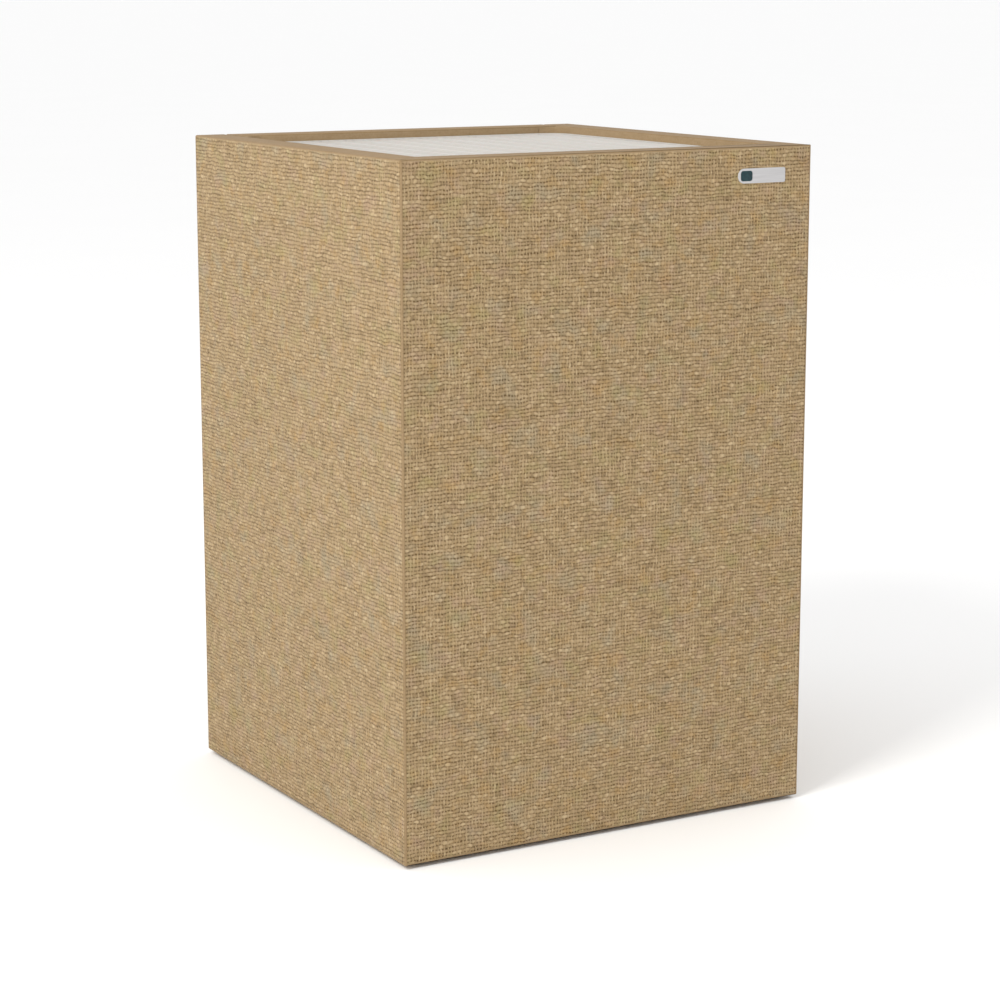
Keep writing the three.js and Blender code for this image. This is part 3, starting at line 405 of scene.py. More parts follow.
def yarn_colour(tree, at, u, v, column, row, on_warp):
    """Each pick and end keeps a shade for a few crossings, and dyed strands drift through in patches."""
    along, across = 0.42, 1.7  # a shade lasts along a thread, and changes from one thread to the next

    def run(by_u, by_v, layer):
        x, y = times(tree, *by_u), times(tree, *by_v)
        where = put(tree, "CombineXYZ", {0: x, 1: y, 2: layer}).outputs[0]
        return noise(tree, where, 1.0, 1.0)

    weft_run, warp_run = run((u, along), (row, across), 3.0), run((column, across), (v, along), 9.0)
    pick = put(tree, "Mix", {0: on_warp, 2: weft_run, 3: warp_run}, data_type="FLOAT").outputs[0]
    yarn = put(tree, "ValToRGB", {0: pick})
    shades = [(0.28, (0.214, 0.149, 0.080)), (0.42, (0.279, 0.199, 0.108)), (0.52, (0.313, 0.225, 0.126)),
              (0.62, (0.355, 0.261, 0.153)), (0.74, (0.408, 0.309, 0.188))]
    ramp = yarn.color_ramp
    while len(ramp.elements) < len(shades):
        ramp.elements.new(0.5)
    for element, (spot, colour) in zip(ramp.elements, shades):
        element.position = spot
        element.color = (*colour, 1)
    colour = yarn.outputs[0]
    dyes = [(0.110, (0.268, 0.246, 0.182), 0.44), (0.150, (0.325, 0.222, 0.157), 0.48),
            (0.190, (0.340, 0.212, 0.082), 0.46), (0.130, (0.285, 0.242, 0.106), 0.44)]
    for scale, dye, most in dyes:
        elsewhere = (900 * scale, 700 * scale, 0)  # so that no two dyes share their patches
        shifted = put(tree, "VectorMath", {0: at, 1: elsewhere}, operation="ADD").outputs[0]
        patch = spread(tree, noise(tree, shifted, scale, 2, 0.6), 0.54, 0.72, 0.0, most)
        colour = blend_colours(tree, patch, colour, dye)
    return colour


def weave_recipe(tree, place):
    straight = put(tree, "UVMap", uv_map=CLOTH_MAP).outputs[0]
    wobble = put(tree, "TexNoise", {"Vector": straight, "Scale": 0.42, "Detail": 1.0}).outputs["Color"]
    shift = put(tree, "VectorMath", {0: wobble, 1: (0.5, 0.5, 0.5)}, operation="SUBTRACT").outputs[0]
    wander = {0: shift, 1: (0.8, 0.9, 0), 2: straight}  # in threads
    at = put(tree, "VectorMath", wander, operation="MULTIPLY_ADD").outputs[0]
    u, v, column, row, height, on_warp = crossings(tree, at)
    coloured = yarn_colour(tree, at, u, v, column, row, on_warp)
    # twist and loose fibres, finer than a thread
    along = noise(tree, at, 2.2, 3, 0.65, (1.0, 5.0, 1.0))
    hairs = noise(tree, at, 9.0, 3, 0.7)
    # painted shade in the gaps between threads and a painted highlight on each crown, both read from the
    # weave's height
    depth = spread(tree, height, -0.45, 0.75)
    crown = spread(tree, height, 0.80, 1.25)
    painted_gap_shade = blend_colours(tree, depth, (0.38, 0.30, 0.19), (1.09, 1.08, 1.05))
    painted_shade_and_highlight = blend_colours(tree, crown, painted_gap_shade, (1.30, 1.29, 1.25))
    strand = spread(tree, along, 0.25, 0.75, 0.68, 1.33)
    strands = put(tree, "CombineXYZ", {0: strand, 1: strand, 2: strand}).outputs[0]
    lit = blend_colours(tree, 1.0, coloured, painted_shade_and_highlight, "MULTIPLY")
    lit = blend_colours(tree, 1.0, lit, strands, "MULTIPLY")
    relief = sums(tree, "MULTIPLY_ADD", along, 0.6, sums(tree, "MULTIPLY_ADD", hairs, 0.25, height))
    return {"Base Color": lit, "Roughness": spread(tree, hairs, 0.3, 0.7, 0.82, 0.95),
            "Normal": bumped(tree, relief, 0.0005, 0.9), "Specular IOR Level": 0.15,
            "Sheen Weight": 0.06, "Sheen Roughness": 0.5}


hopsack = finish("hopsack_weave", weave_recipe)


# %% [markdown]
# ### The tape on the edges
# Along the rim, down the recess and round the inside the fat threads would fray, so the cloth is bound
# there with a smooth, tight tape of the same yarn. Its threads are a millimetre apart, so they are
# bump and faint colour only. The tape on top of the rim and over the corners is a darker copy, with
# shade painted into its colour, so one recipe takes its colours from outside and makes both.

# %% Tape
def taped(dark, light, pale):
    def recipe(tree, place):
        fine = noise(tree, place, 420, 2, 0.6)
        slub = noise(tree, place, 60, 3, 0.6, (1, 1, 2.5))
        ribs = []
        split = put(tree, "SeparateXYZ", {0: place})
        for axis in range(3):
            turns = times(tree, split.outputs[axis], 2 * math.pi / 0.0011)
            ribs.append(sums(tree, "SINE", turns))
        threads = sums(tree, "ADD", sums(tree, "ADD", ribs[0], ribs[1]), ribs[2])
        warm = mottled(tree, slub, dark, light)
        flecked = mottled(tree, fine, warm, pale, 0.35, 0.75, 0.5)
        relief = sums(tree, "MULTIPLY_ADD", threads, 0.12, fine)
        return {"Base Color": flecked, "Roughness": 0.88, "Normal": bumped(tree, relief, 0.00018, 0.6),
                "Specular IOR Level": 0.12, "Sheen Weight": 0.04}
    return recipe


tape = finish("binding_tape", taped((0.300, 0.208, 0.112), (0.345, 0.244, 0.138), (0.400, 0.295, 0.180)))
# a darker copy of the tape, with shade painted into its colour, for faces that look up and for the welts
painted_shade_tape = finish("painted_shade_tape", taped((0.240, 0.160, 0.081), (0.278, 0.189, 0.100), (0.325, 0.232, 0.134)))


# %% [markdown]
# ### One wrapped wall
# Each wall's cloth is a sheet stretched over its board, with its edges bound in tape. The binding is a
# merged copy of the plain CAD cover, which already has the mitres, the window on the inside and the
# cut-outs: its long edges are rounded, and its flat outer face is taken away. The woven face goes
# there: a grid with two columns and two rows of squares to a thread, the fewest that can show each
# thread's rise and fall. It is moved as a sculptor would: out and in with the weave, sideways where
# the rows wander, and not at all at its edges, where a narrow skirt turns in to close the seam. Every
# face is made towards the front, and then turned to its side of the cabinet.

# %% Clouds of slow random movement
def cloud(rows, columns, cell, seed):
    """A smooth random field, from -1 to 1, that changes over about `cell` grid steps."""
    dice = np.random.default_rng(seed)
    coarse = dice.uniform(-1, 1, (int(rows / cell[0]) + 3, int(columns / cell[1]) + 3))

    def along(field, count, step):
        at = np.arange(count) / step
        low = at.astype(int)
        share = (1 - np.cos((at - low) * math.pi)) / 2
        return field[low] * (1 - share)[:, None] + field[low + 1] * share[:, None]

    return along(along(coarse, rows, cell[0]).T, columns, cell[1]).T


# %% The woven face
RELIEF = 0.00042  # half the height between a thread's crown and the gap beside it
SLACK = 0.0003  # how far the whole cloth rises and falls over its board
SKIRT = 0.0009  # how deep its edges turn in behind the binding
EDGE = 0.0022  # radius of the turn round a wall's edge
SEAM = 0.0008  # where two walls' cloths meet at a mitre


def weave_height(u, v):
    """The same crossings as the finish: high on a crown, low in a gap."""
    parity = (np.floor(u) + np.floor(v)) % 2
    weft = (1 - 2 * parity) * np.sin(np.pi * (u % 1)) * 0.32
    between_rows = np.cos(2 * np.pi * (v % 1))
    beside_warp = np.cos(2 * np.pi * (u % 1))
    return weft - 0.72 * between_rows - 0.10 * beside_warp * parity


def woven_face(name, x, z, seed, snap_x=(), snap_z=()):
    """A grid facing -Y between x and z, with the weave in its mesh and a map that counts threads."""
    columns = 2 * round((x[1] - x[0]) / WARP)
    rows = 2 * round((z[1] - z[0]) / WEFT)
    nothing_selected()
    middle = ((x[0] + x[1]) / 2, FACE_Y, (z[0] + z[1]) / 2)
    bpy.ops.mesh.primitive_grid_add(x_subdivisions=columns, y_subdivisions=rows, size=1, location=middle,
                                    rotation=(math.pi / 2, 0, 0))
    piece = named(name, (x[1] - x[0], z[1] - z[0], 1))
    mesh = piece.data
    shape = (rows + 1, columns + 1)
    places = np.empty(len(mesh.vertices) * 3)
    mesh.vertices.foreach_get("co", places)
    places = places.reshape(*shape, 3)
    u = np.broadcast_to(np.arange(columns + 1) / 2, shape)
    v = np.broadcast_to(np.arange(rows + 1)[:, None] / 2, shape)
    from_edge = np.minimum(np.minimum(2 * u, columns - 2 * u), np.minimum(2 * v, rows - 2 * v))
    u, v = u + 0.5, v + 0.5  # a thread's crown, not a gap, lies along each edge
    free = np.clip(from_edge / 3, 0, 1)
    slub = 1 + 0.35 * cloud(*shape, (2, 9), seed) + 0.15 * cloud(*shape, (9, 2), seed + 1)
    places[:, :, 1] -= free * (RELIEF * weave_height(u, v) * slub + SLACK * cloud(*shape, (24, 24), seed + 2))
    # threads wander together in slow curves, and each thread keeps a little more or less than its share
    uneven = 0.0004 * cloud(*shape, (30, 2), seed + 5), 0.0004 * cloud(*shape, (2, 30), seed + 6)
    places[:, :, 0] += free * (0.0007 * cloud(*shape, (12, 5), seed + 3) + uneven[0])
    places[:, :, 2] += free * (0.0010 * cloud(*shape, (5, 9), seed + 4) + uneven[1])
    for line in snap_x:
        places[:, round((line - x[0]) / (x[1] - x[0]) * columns), 0] = line
    for line in snap_z:
        places[round((line - z[0]) / (z[1] - z[0]) * rows), :, 2] = line
    mesh.vertices.foreach_set("co", places.ravel())
    corner = np.empty(len(mesh.loops), dtype=np.int32)
    mesh.loops.foreach_get("vertex_index", corner)
    threads = mesh.uv_layers[0]
    threads.name = CLOTH_MAP
    counts = np.stack([u + seed * 64, v + seed * 64], axis=-1).reshape(-1, 2)
    threads.uv.foreach_set("vector", counts[corner].astype(np.float32).ravel())
    mesh.update()
    return piece


def cut_out(piece, x, z):
    """Opens the woven face where a fitting comes through it."""
    edit(piece)
    choose(piece, lambda middle, normal: x[0] < middle.x < x[1] and z[0] < middle.z < z[1])
    bpy.ops.mesh.delete(type="FACE")
    done()


def skirted(piece, angle):
    """Turns the sheet's open edges in behind the binding, and the whole face to its side."""
    edit(piece, "EDGE")
    bpy.ops.mesh.select_non_manifold()
    bpy.ops.mesh.extrude_edges_move()
    bpy.ops.transform.translate(value=(0, SKIRT, 0))
    done()
    wear(piece, hopsack)
    take_up(piece)
    bpy.ops.object.shade_smooth()
    return turned(piece, angle)


# %% The binding
def copied_node(name, node):
    """A merged copy of a CAD node's mesh, as a new piece."""
    nothing_selected()
    bpy.ops.mesh.primitive_plane_add(size=0.01)
    piece = bpy.context.object
    piece.data = NODES[node].data.copy()
    piece = named(name)
    edit(piece)
    everything()
    bpy.ops.mesh.remove_doubles(threshold=0.00001)
    bpy.ops.mesh.dissolve_limited(angle_limit=math.radians(0.5))
    done()
    return piece


FLUSH = 0.00001  # a face in a plane is this close to it; the first strip of a bevel beside it isn't


def near(value, *levels):
    return any(abs(value - level) < 0.0001 for level in levels)


def binding(name, node, outer, across, along):
    """outer is the outer plane's place on the axis `across`; `along` is the axis of the wall's length."""
    piece = copied_node(name, node)
    low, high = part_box(node)
    inner = outer - math.copysign(WALL, outer)
    free_ends = [level for level in (low[along], high[along]) if not near(abs(level), MITRE_END)]
    edit(piece)
    if node == "front_cover":  # the badge's pocket is closed, because the plate covers it
        choose(piece, lambda at, normal: near(at.y, outer)
               or at.y < outer + 0.0019 and abs(at.z - badge_z) < 0.012)
        bpy.ops.mesh.delete(type="FACE")
        bpy.ops.mesh.select_mode(type="EDGE")
        bpy.ops.mesh.select_non_manifold()
        bpy.ops.mesh.edge_face_add()
    choose(piece, lambda at, way: near(at[across], outer) and near(abs(at[along]), MITRE_END)
           and abs(way.z) > 0.9, "EDGE")
    bpy.ops.mesh.bevel(offset=SEAM, segments=2)
    choose(piece, lambda at, way: near(at[across], outer, inner)
           and (near(at.z, low.z, high.z) and abs(way[along]) > 0.9
                or near(at[along], *free_ends) and abs(way.z) > 0.9)
           or across == 0 and near(at.z, low.z, high.z) and near(at[along], *free_ends)
           and abs(way.x) > 0.9, "EDGE")
    bpy.ops.mesh.bevel(offset=EDGE, segments=4)
    choose(piece, lambda at, normal: abs(at[across] - outer) < FLUSH and abs(normal[across]) > 0.99)
    bpy.ops.mesh.delete(type="FACE")
    done()
    wear(smoothed(piece, 35), tape, painted_shade_tape)
    # faces that look up take the darker tape: painted shade on the rim's top
    edit(piece)
    choose(piece, lambda at, normal: normal.z > 0.3)
    piece.active_material_index = 1
    bpy.ops.object.material_slot_assign()
    done()
    return piece


# %% The fixed walls
low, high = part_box("front_cover")
FACE_Y = low.y
BOTTOM, RIM = low.z, high.z
WALL = high.y - low.y
MITRE_END = high.x
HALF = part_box("left_cover")[1].y
INNER = HALF - WALL
LEVELS = (BOTTOM + EDGE, RIM - EDGE)
badge_low, badge_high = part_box("badge_plate")
badge_z = (badge_low.z + badge_high.z) / 2

front_cloth = woven_face("front_cloth", (-MITRE_END + SEAM, MITRE_END - SEAM), LEVELS, 1)
cut_out(front_cloth, (badge_low.x + 0.004, badge_high.x - 0.003), (badge_low.z + 0.003, badge_high.z - 0.003))
skirted(front_cloth, 0)
left_cloth = skirted(woven_face("left_cloth", (-HALF + EDGE, MITRE_END - SEAM), LEVELS, 2), -math.pi / 2)
right_cloth = skirted(woven_face("right_cloth", (-MITRE_END + SEAM, HALF - EDGE), LEVELS, 3), math.pi / 2)
left_end_cloth = skirted(woven_face("left_end_cloth", (INNER + EDGE, HALF - EDGE), LEVELS, 4), math.pi)
right_end_cloth = skirted(woven_face("right_end_cloth", (-HALF + EDGE, -INNER - EDGE), LEVELS, 5), math.pi)
front_binding = binding("front_binding", "front_cover", FACE_Y, 1, 0)
left_binding = binding("left_binding", "left_cover", -HALF, 0, 1)
right_binding = binding("right_binding", "right_cover", HALF, 0, 1)
for piece in (left_binding, right_binding):
    edit(piece)
    choose(piece, lambda at, normal: abs(at.y - HALF) < FLUSH and normal.y > 0.99)
    bpy.ops.mesh.delete(type="FACE")
    done()
print("front cloth:", triangles(front_cloth), "triangles; left:", triangles(left_cloth))

# %% [markdown]
# ### Welts and inside corners
# Where two walls meet, the cloth's edges are covered by a narrow welt of tape that rounds the corner
# from floor to rim. Inside the rim, each corner of the recess is filled by a small hollow-curved
# fillet, so the opening looks moulded rather than boxed. A cube does for both: one edge is rounded
# outwards for the welt, and inwards, with a low bevel profile, for the fillet.

# %% Welts
WELT = 0.0022  # the radius of a welt


def corner_post(name, low, high, corner, radius, profile, segments, material):
    """A block whose upright edge at `corner` is rounded, outwards or inwards."""
    piece = block(name, low, high)
    edit(piece)
    choose(piece, lambda at, way: near(at.x, corner[0]) and near(at.y, corner[1])
           and abs(way.z) > 0.9, "EDGE")
    bpy.ops.mesh.bevel(offset=radius, segments=segments, profile=profile)
    done()
    wear(smoothed(piece), material)
    return piece


ROUND, HOLLOW = 0.5, 0.086  # bevel profiles
PROUD = 0.0002  # how far a welt stands out from the cloth
welts = []
# the welts wear the darker tape: painted shade down the corners
for name, side in (("left_welt", -1), ("right_welt", 1)):
    x = sorted((side * (HALF - WELT), side * (HALF + PROUD)))
    y = (-HALF - PROUD, -HALF + WELT)
    welts.append(corner_post(name, (x[0], y[0], BOTTOM + 0.0004), (x[1], y[1], RIM - 0.0006),
                             (side * (HALF + PROUD), y[0]), WELT, ROUND, 6, painted_shade_tape))

# %% Fillets in the recess
FILLET = 0.030  # the radius of the opening's corners
DOOR_GAP = 0.0007  # the rear fillets keep clear of the door
frame_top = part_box("top_frame")[1].z
fillets = []
for name, side, end in (("front_left", -1, -1), ("front_right", 1, -1),
                        ("rear_left", -1, 1), ("rear_right", 1, 1)):
    wall_y = INNER - (DOOR_GAP if end > 0 else 0)
    x = sorted((side * INNER, side * (INNER - FILLET)))
    y = sorted((end * wall_y, end * (wall_y - FILLET)))
    inside = (side * (INNER - FILLET), end * (wall_y - FILLET))
    fillets.append(corner_post("fillet_" + name, (x[0], y[0], frame_top + 0.0008),
                               (x[1], y[1], RIM - 0.0012), inside, FILLET - 0.0004, HOLLOW, 8, tape))
print(len(welts), "welts and", len(fillets), "fillets")

# %% The door's cloth
door_low, door_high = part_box("door_cover")
intake_low, intake_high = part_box("intake_grille")
OPENING = 0.0003  # the gap round a fitting in its opening
intake_x = (intake_low.x - OPENING, intake_high.x + OPENING)
intake_z = (intake_low.z - OPENING, intake_high.z + OPENING)
notch_x = (-door_low.x - 0.0105, -door_low.x)
notches = [(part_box(leaf)[0].z - 0.001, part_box(leaf)[1].z + 0.001)
           for leaf in ("hinge_lower_fixed_leaf", "hinge_upper_fixed_leaf")]
door_cloth = woven_face("door_cloth", (door_low.x + EDGE, door_high.x - EDGE),
                        (door_low.z + EDGE, door_high.z - EDGE), 6, (*intake_x, notch_x[0]),
                        (*intake_z, *notches[0], *notches[1]))
cut_out(door_cloth, intake_x, intake_z)
for notch in notches:
    cut_out(door_cloth, notch_x, notch)
skirted(door_cloth, math.pi)
door_binding = binding("door_binding", "door_cover", HALF, 1, 0)
print("door cloth:", triangles(door_cloth), "triangles")

# %% Which board each cloth is stretched on
cloths = [
    (front_cloth, front_binding, "front", [], 2 * MITRE_END),
    (left_cloth, left_binding, "left", [left_end_cloth], 2 * HALF),
    (right_cloth, right_binding, "right", [right_end_cloth], 2 * HALF),
    (door_cloth, door_binding, "door", [], door_high.x - door_low.x),
]
for cloth, bound, side, ends, width in cloths:
    body = "rear_door" if side == "door" else "cabinet"
    if side == "front":
        ends = [*welts, *fillets]
    for piece in (cloth, bound, *ends):
        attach(piece, body)
        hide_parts(side + "_cover")
    low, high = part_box(side + "_cover")

# %% [markdown]
# ## The outlet grille
# Air leaves through a white moulded grille, set into the rim. It is one moulding: a frame, slats from
# front to back with every third one broader, and two ties below. Each slat has a softly rounded top
# that catches the light as a fine line, so the slats are eased bars rather than flat strips. One slat
# and one rib are made, and the rest are copies, each with its own mesh.

# %% White plastic
def white_recipe(tree, place):
    grain = noise(tree, place, 900)
    flow = noise(tree, place, 14, 2, 0.5, (1, 0.15, 1))
    return {"Base Color": mottled(tree, flow, (0.468, 0.443, 0.415), (0.501, 0.475, 0.446)),
            "Roughness": spread(tree, grain, 0.3, 0.7, 0.36, 0.5),
            "Normal": bumped(tree, grain, 0.00006, 0.5), "Subsurface Weight": 0.04}


white_plastic = finish("white_moulding", white_recipe)

# %% Frame, slats and ties
low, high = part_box("outlet_grille")
BORDER, PITCH, SLAT, RIB, DEEP = 0.007, 0.012, 0.004, 0.007, 0.011
SLAT_EASE = 0.0014
SHORTER = 0.005  # the last bar on each side keeps inside the rounded corners
nothing_selected()
bpy.ops.mesh.primitive_plane_add(size=1, location=((low.x + high.x) / 2, (low.y + high.y) / 2, low.z))
ring = named("grille_ring", (high.x - low.x, high.y - low.y, 1))
edit(ring)
bpy.ops.mesh.select_mode(type="VERT")
everything()
bpy.ops.mesh.bevel(offset=FILLET + 0.001, segments=6, affect="VERTICES")
bpy.ops.mesh.select_mode(type="FACE")
everything()
bpy.ops.mesh.inset(thickness=BORDER)
bpy.ops.mesh.delete(type="FACE")
everything()
drawn_out(0, 0, high.z - low.z)
faced_out()
soften(ring, 0.0012, 3)

slat_levels = (high.z - DEEP, high.z - 0.0005)
length = (low.y + 0.001, high.y - 0.001)
steps = int((high.x - BORDER - SLAT) / PITCH)


def slat_bar(name, x, width, shorter=0.0):
    return block(name, (x - width / 2, length[0] + shorter, slat_levels[0]),
                 (x + width / 2, length[1] - shorter, slat_levels[1]), SLAT_EASE, 3)


slat, rib = slat_bar("slat", 0, SLAT), slat_bar("rib", 0, RIB)
bars = [copy_of(rib if n % 3 == 0 else slat, "bar", (n * PITCH, 0, 0)) for n in range(1 - steps, steps)]
bars += [slat_bar("bar", side * steps * PITCH, RIB, SHORTER) for side in (-1, 1)]
ties = []
for n in (1, 2):
    middle = low.y + n * (high.y - low.y) / 3
    ties.append(block("tie", (low.x + 0.001, middle - 0.003, low.z + 0.001),
                      (high.x - 0.001, middle + 0.003, slat_levels[0] + 0.001), 0.0006))
thrown_away(slat, rib)
grille = dressed(as_one("outlet_slats", [ring, *bars, *ties]), white_plastic, "outlet")
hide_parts("outlet_grille")
print("grille:", len(bars), "bars,", triangles(grille), "triangles")

# %% [markdown]
# ## The badge
# A small satin plate sits high on the right of the front, with one round end and a dark lens that
# covers the indicator. The plate is a thin flat with its rim eased all round; the lens is a lozenge
# with a slight crown. Neither carries any lettering.

# %% Satin plate and dark lens finishes
def satin_recipe(tree, place):
    brushed = noise(tree, place, 700, 3, 0.6, (0.04, 1, 1))
    specks = noise(tree, place, 1500)
    return {"Base Color": mottled(tree, brushed, (0.475, 0.465, 0.470), (0.545, 0.535, 0.540)),
            "Metallic": 0.35, "Roughness": spread(tree, specks, 0.3, 0.7, 0.36, 0.46),
            "Normal": bumped(tree, brushed, 0.00002, 0.5)}


def lens_recipe(tree, place):
    depth = noise(tree, place, 260)
    return {"Base Color": mottled(tree, depth, (0.003, 0.022, 0.028), (0.006, 0.038, 0.044)),
            "Roughness": spread(tree, noise(tree, place, 900), 0.3, 0.7, 0.1, 0.18),
            "Coat Weight": 0.2, "Coat Roughness": 0.05, "Specular IOR Level": 0.3}


satin_plate = finish("satin_plate", satin_recipe)
dark_lens = finish("dark_lens", lens_recipe)

# %% Plate and lens
def lozenge(name, low, high, round_left, round_right, rim, segments=10):
    """An upright flat that fills its box, with its two ends rounded by these radii."""
    nothing_selected()
    middle = ((low.x + high.x) / 2, high.y, (low.z + high.z) / 2)
    bpy.ops.mesh.primitive_plane_add(size=1, location=middle, rotation=(math.pi / 2, 0, 0))
    piece = named(name, (high.x - low.x, high.z - low.z, 1))
    edit(piece, "VERT")
    for side, radius in ((-1, round_left), (1, round_right)):
        bpy.ops.mesh.select_all(action="DESELECT")
        mesh = bmesh.from_edit_mesh(piece.data)
        for vertex in mesh.verts:
            vertex.select_set((vertex.co.x - middle[0]) * side > (high.x - low.x) * 0.499)
        bmesh.update_edit_mesh(piece.data)
        bpy.ops.mesh.bevel(offset=radius, segments=segments, affect="VERTICES", clamp_overlap=True)
    everything()
    bpy.ops.mesh.remove_doubles(threshold=0.00001)
    everything()
    drawn_out(0, low.y - high.y, 0)
    faced_out()
    return soften(piece, rim, 3, 50)


low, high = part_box("badge_plate")
plate = lozenge("badge_flat", low, high, (high.z - low.z) / 2 - 0.00005, 0.0022, 0.0004)
low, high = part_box("indicator_lens")
lens = lozenge("indicator_window", low - Vector((0, 0.0002, 0)), high, 0.0035, 0.0035, 0.0006)
for piece, material, slot, node in ((plate, satin_plate, "badge_plate", "badge_plate"),
                                    (lens, dark_lens, "dark_lens", "indicator_lens")):
    dressed(piece, material, "cabinet")
    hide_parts(node)

# %% [markdown]
# ## Finishes for the inside and the rear
# The rest of the machine is ordinary engineering: galvanised sheet, dark powder coat, moulded black
# plastic, rubber, foam and filter papers. Each recipe below gives one of them its grain at its real
# size: spangle a few millimetres across on zinc, orange peel under a millimetre on powder coat, spark
# texture on mouldings, open cells in foam with shade painted into their hollows, fibres in card and paper.

# %% Sheet metals and coatings
def zinc_recipe(tree, place):
    crystals = put(tree, "TexVoronoi", {"Vector": place, "Scale": 140})
    spangle = put(tree, "SeparateColor", {0: crystals.outputs["Color"]}).outputs[0]
    smear = noise(tree, place, 30, 4, 0.6)
    rolled = noise(tree, place, 500, 2, 0.5, (1, 1, 0.05))
    tone = sums(tree, "MULTIPLY_ADD", spangle, 0.35, times(tree, smear, 0.65))
    return {"Base Color": mottled(tree, tone, (0.44, 0.46, 0.48), (0.62, 0.64, 0.66), 0.25, 0.75),
            "Metallic": 0.9, "Roughness": spread(tree, tone, 0.2, 0.8, 0.34, 0.55),
            "Normal": bumped(tree, rolled, 0.00003, 0.5)}


def powder_recipe(tree, place):
    peel = noise(tree, place, 700)
    dust = noise(tree, place, 9, 4, 0.6)
    return {"Base Color": mottled(tree, dust, (0.016, 0.017, 0.019), (0.026, 0.027, 0.030), 0.35, 0.7),
            "Roughness": spread(tree, peel, 0.3, 0.7, 0.42, 0.6), "Normal": bumped(tree, peel, 0.00012, 0.7)}


def bright_recipe(tree, place):
    turned_lines = noise(tree, place, 900, 2, 0.5, (0.1, 0.1, 1))
    return {"Base Color": mottled(tree, turned_lines, (0.60, 0.60, 0.61), (0.74, 0.74, 0.75)),
            "Metallic": 1.0, "Roughness": spread(tree, turned_lines, 0.3, 0.7, 0.16, 0.32),
            "Normal": bumped(tree, turned_lines, 0.00002, 0.4)}


def lamination_recipe(tree, place):
    split = put(tree, "SeparateXYZ", {0: place})
    stack = sums(tree, "SINE", times(tree, split.outputs[2], 2 * math.pi / 0.001))
    varnish = noise(tree, place, 120, 3, 0.6)
    return {"Base Color": mottled(tree, varnish, (0.085, 0.045, 0.022), (0.16, 0.085, 0.040)),
            "Metallic": 0.5, "Roughness": spread(tree, varnish, 0.3, 0.7, 0.3, 0.5),
            "Normal": bumped(tree, stack, 0.00012, 0.8)}


zinc = finish("galvanised_sheet", zinc_recipe)
powder = finish("powder_coat", powder_recipe)
bright = finish("bright_steel", bright_recipe)
laminations = finish("varnished_laminations", lamination_recipe)


# %% Mouldings, rubber and magnet
def moulding_recipe(tree, place):
    spark = noise(tree, place, 1600, 2, 0.6)
    sheen = noise(tree, place, 40, 3)
    return {"Base Color": mottled(tree, sheen, (0.013, 0.013, 0.014), (0.020, 0.020, 0.022)),
            "Roughness": spread(tree, spark, 0.3, 0.7, 0.4, 0.56),
            "Normal": bumped(tree, spark, 0.00005, 0.7)}


def rubber_recipe(tree, place):
    bloom = noise(tree, place, 55, 4, 0.65)
    skin = noise(tree, place, 1100)
    return {"Base Color": mottled(tree, bloom, (0.012, 0.012, 0.012), (0.030, 0.030, 0.029), 0.4, 0.75),
            "Roughness": spread(tree, bloom, 0.3, 0.7, 0.68, 0.85),
            "Normal": bumped(tree, skin, 0.00008, 0.6)}


def magnet_recipe(tree, place):
    grit = noise(tree, place, 900, 3, 0.7)
    return {"Base Color": mottled(tree, grit, (0.020, 0.020, 0.022), (0.045, 0.045, 0.048)),
            "Metallic": 0.3, "Roughness": 0.5, "Normal": bumped(tree, grit, 0.00008, 0.7)}


black_plastic = finish("black_moulding", moulding_recipe)
rubber = finish("black_rubber", rubber_recipe)
ferrite = finish("ferrite_magnet", magnet_recipe)


# %% Foam, felt board, carbon, card and paper
def foam_recipe(tree, place):
    cells = put(tree, "TexVoronoi", {"Vector": place, "Scale": 420}, feature="DISTANCE_TO_EDGE")
    pore_depth_and_shade = spread(tree, cells.outputs["Distance"], 0.02, 0.3)
    # the middles of the cells are painted darker: painted shade in the hollows of the open pores
    return {"Base Color": blend_colours(tree, pore_depth_and_shade, (0.040, 0.040, 0.043), (0.010, 0.010, 0.011)),
            "Roughness": 0.95, "Normal": bumped(tree, sums(tree, "SUBTRACT", 1.0, pore_depth_and_shade), 0.0008, 0.9),
            "Specular IOR Level": 0.15}


def felt_recipe(tree, place):
    fibres = noise(tree, place, 260, 4, 0.75, (1, 1, 0.25))
    flecks = noise(tree, place, 130)
    mixed = mottled(tree, fibres, (0.095, 0.085, 0.072), (0.190, 0.172, 0.150))
    return {"Base Color": mottled(tree, flecks, mixed, (0.30, 0.27, 0.22), 0.62, 0.75, 0.7),
            "Roughness": 0.95, "Normal": bumped(tree, fibres, 0.0004, 0.8), "Sheen Weight": 0.15}


def carbon_recipe(tree, place):
    pellets = put(tree, "TexVoronoi", {"Vector": place, "Scale": 330})
    dome = spread(tree, pellets.outputs["Distance"], 0.0, 0.62, 1.0, 0.0)
    grey = put(tree, "SeparateColor", {0: pellets.outputs["Color"]}).outputs[0]
    return {"Base Color": blend_colours(tree, grey, (0.007, 0.007, 0.008), (0.028, 0.028, 0.030)),
            "Roughness": spread(tree, grey, 0, 1, 0.45, 0.75), "Normal": bumped(tree, dome, 0.0012, 1.0)}


def card_recipe(tree, place):
    fibres = noise(tree, place, 300, 4, 0.7, (1, 0.3, 1))
    flutes = noise(tree, place, 70, 1, 0.4, (1, 1, 0.1))
    mixed = mottled(tree, fibres, (0.42, 0.31, 0.175), (0.55, 0.43, 0.27))
    return {"Base Color": mottled(tree, flutes, mixed, (0.36, 0.26, 0.14), 0.3, 0.7, 0.3),
            "Roughness": 0.88, "Normal": bumped(tree, fibres, 0.00012, 0.6)}


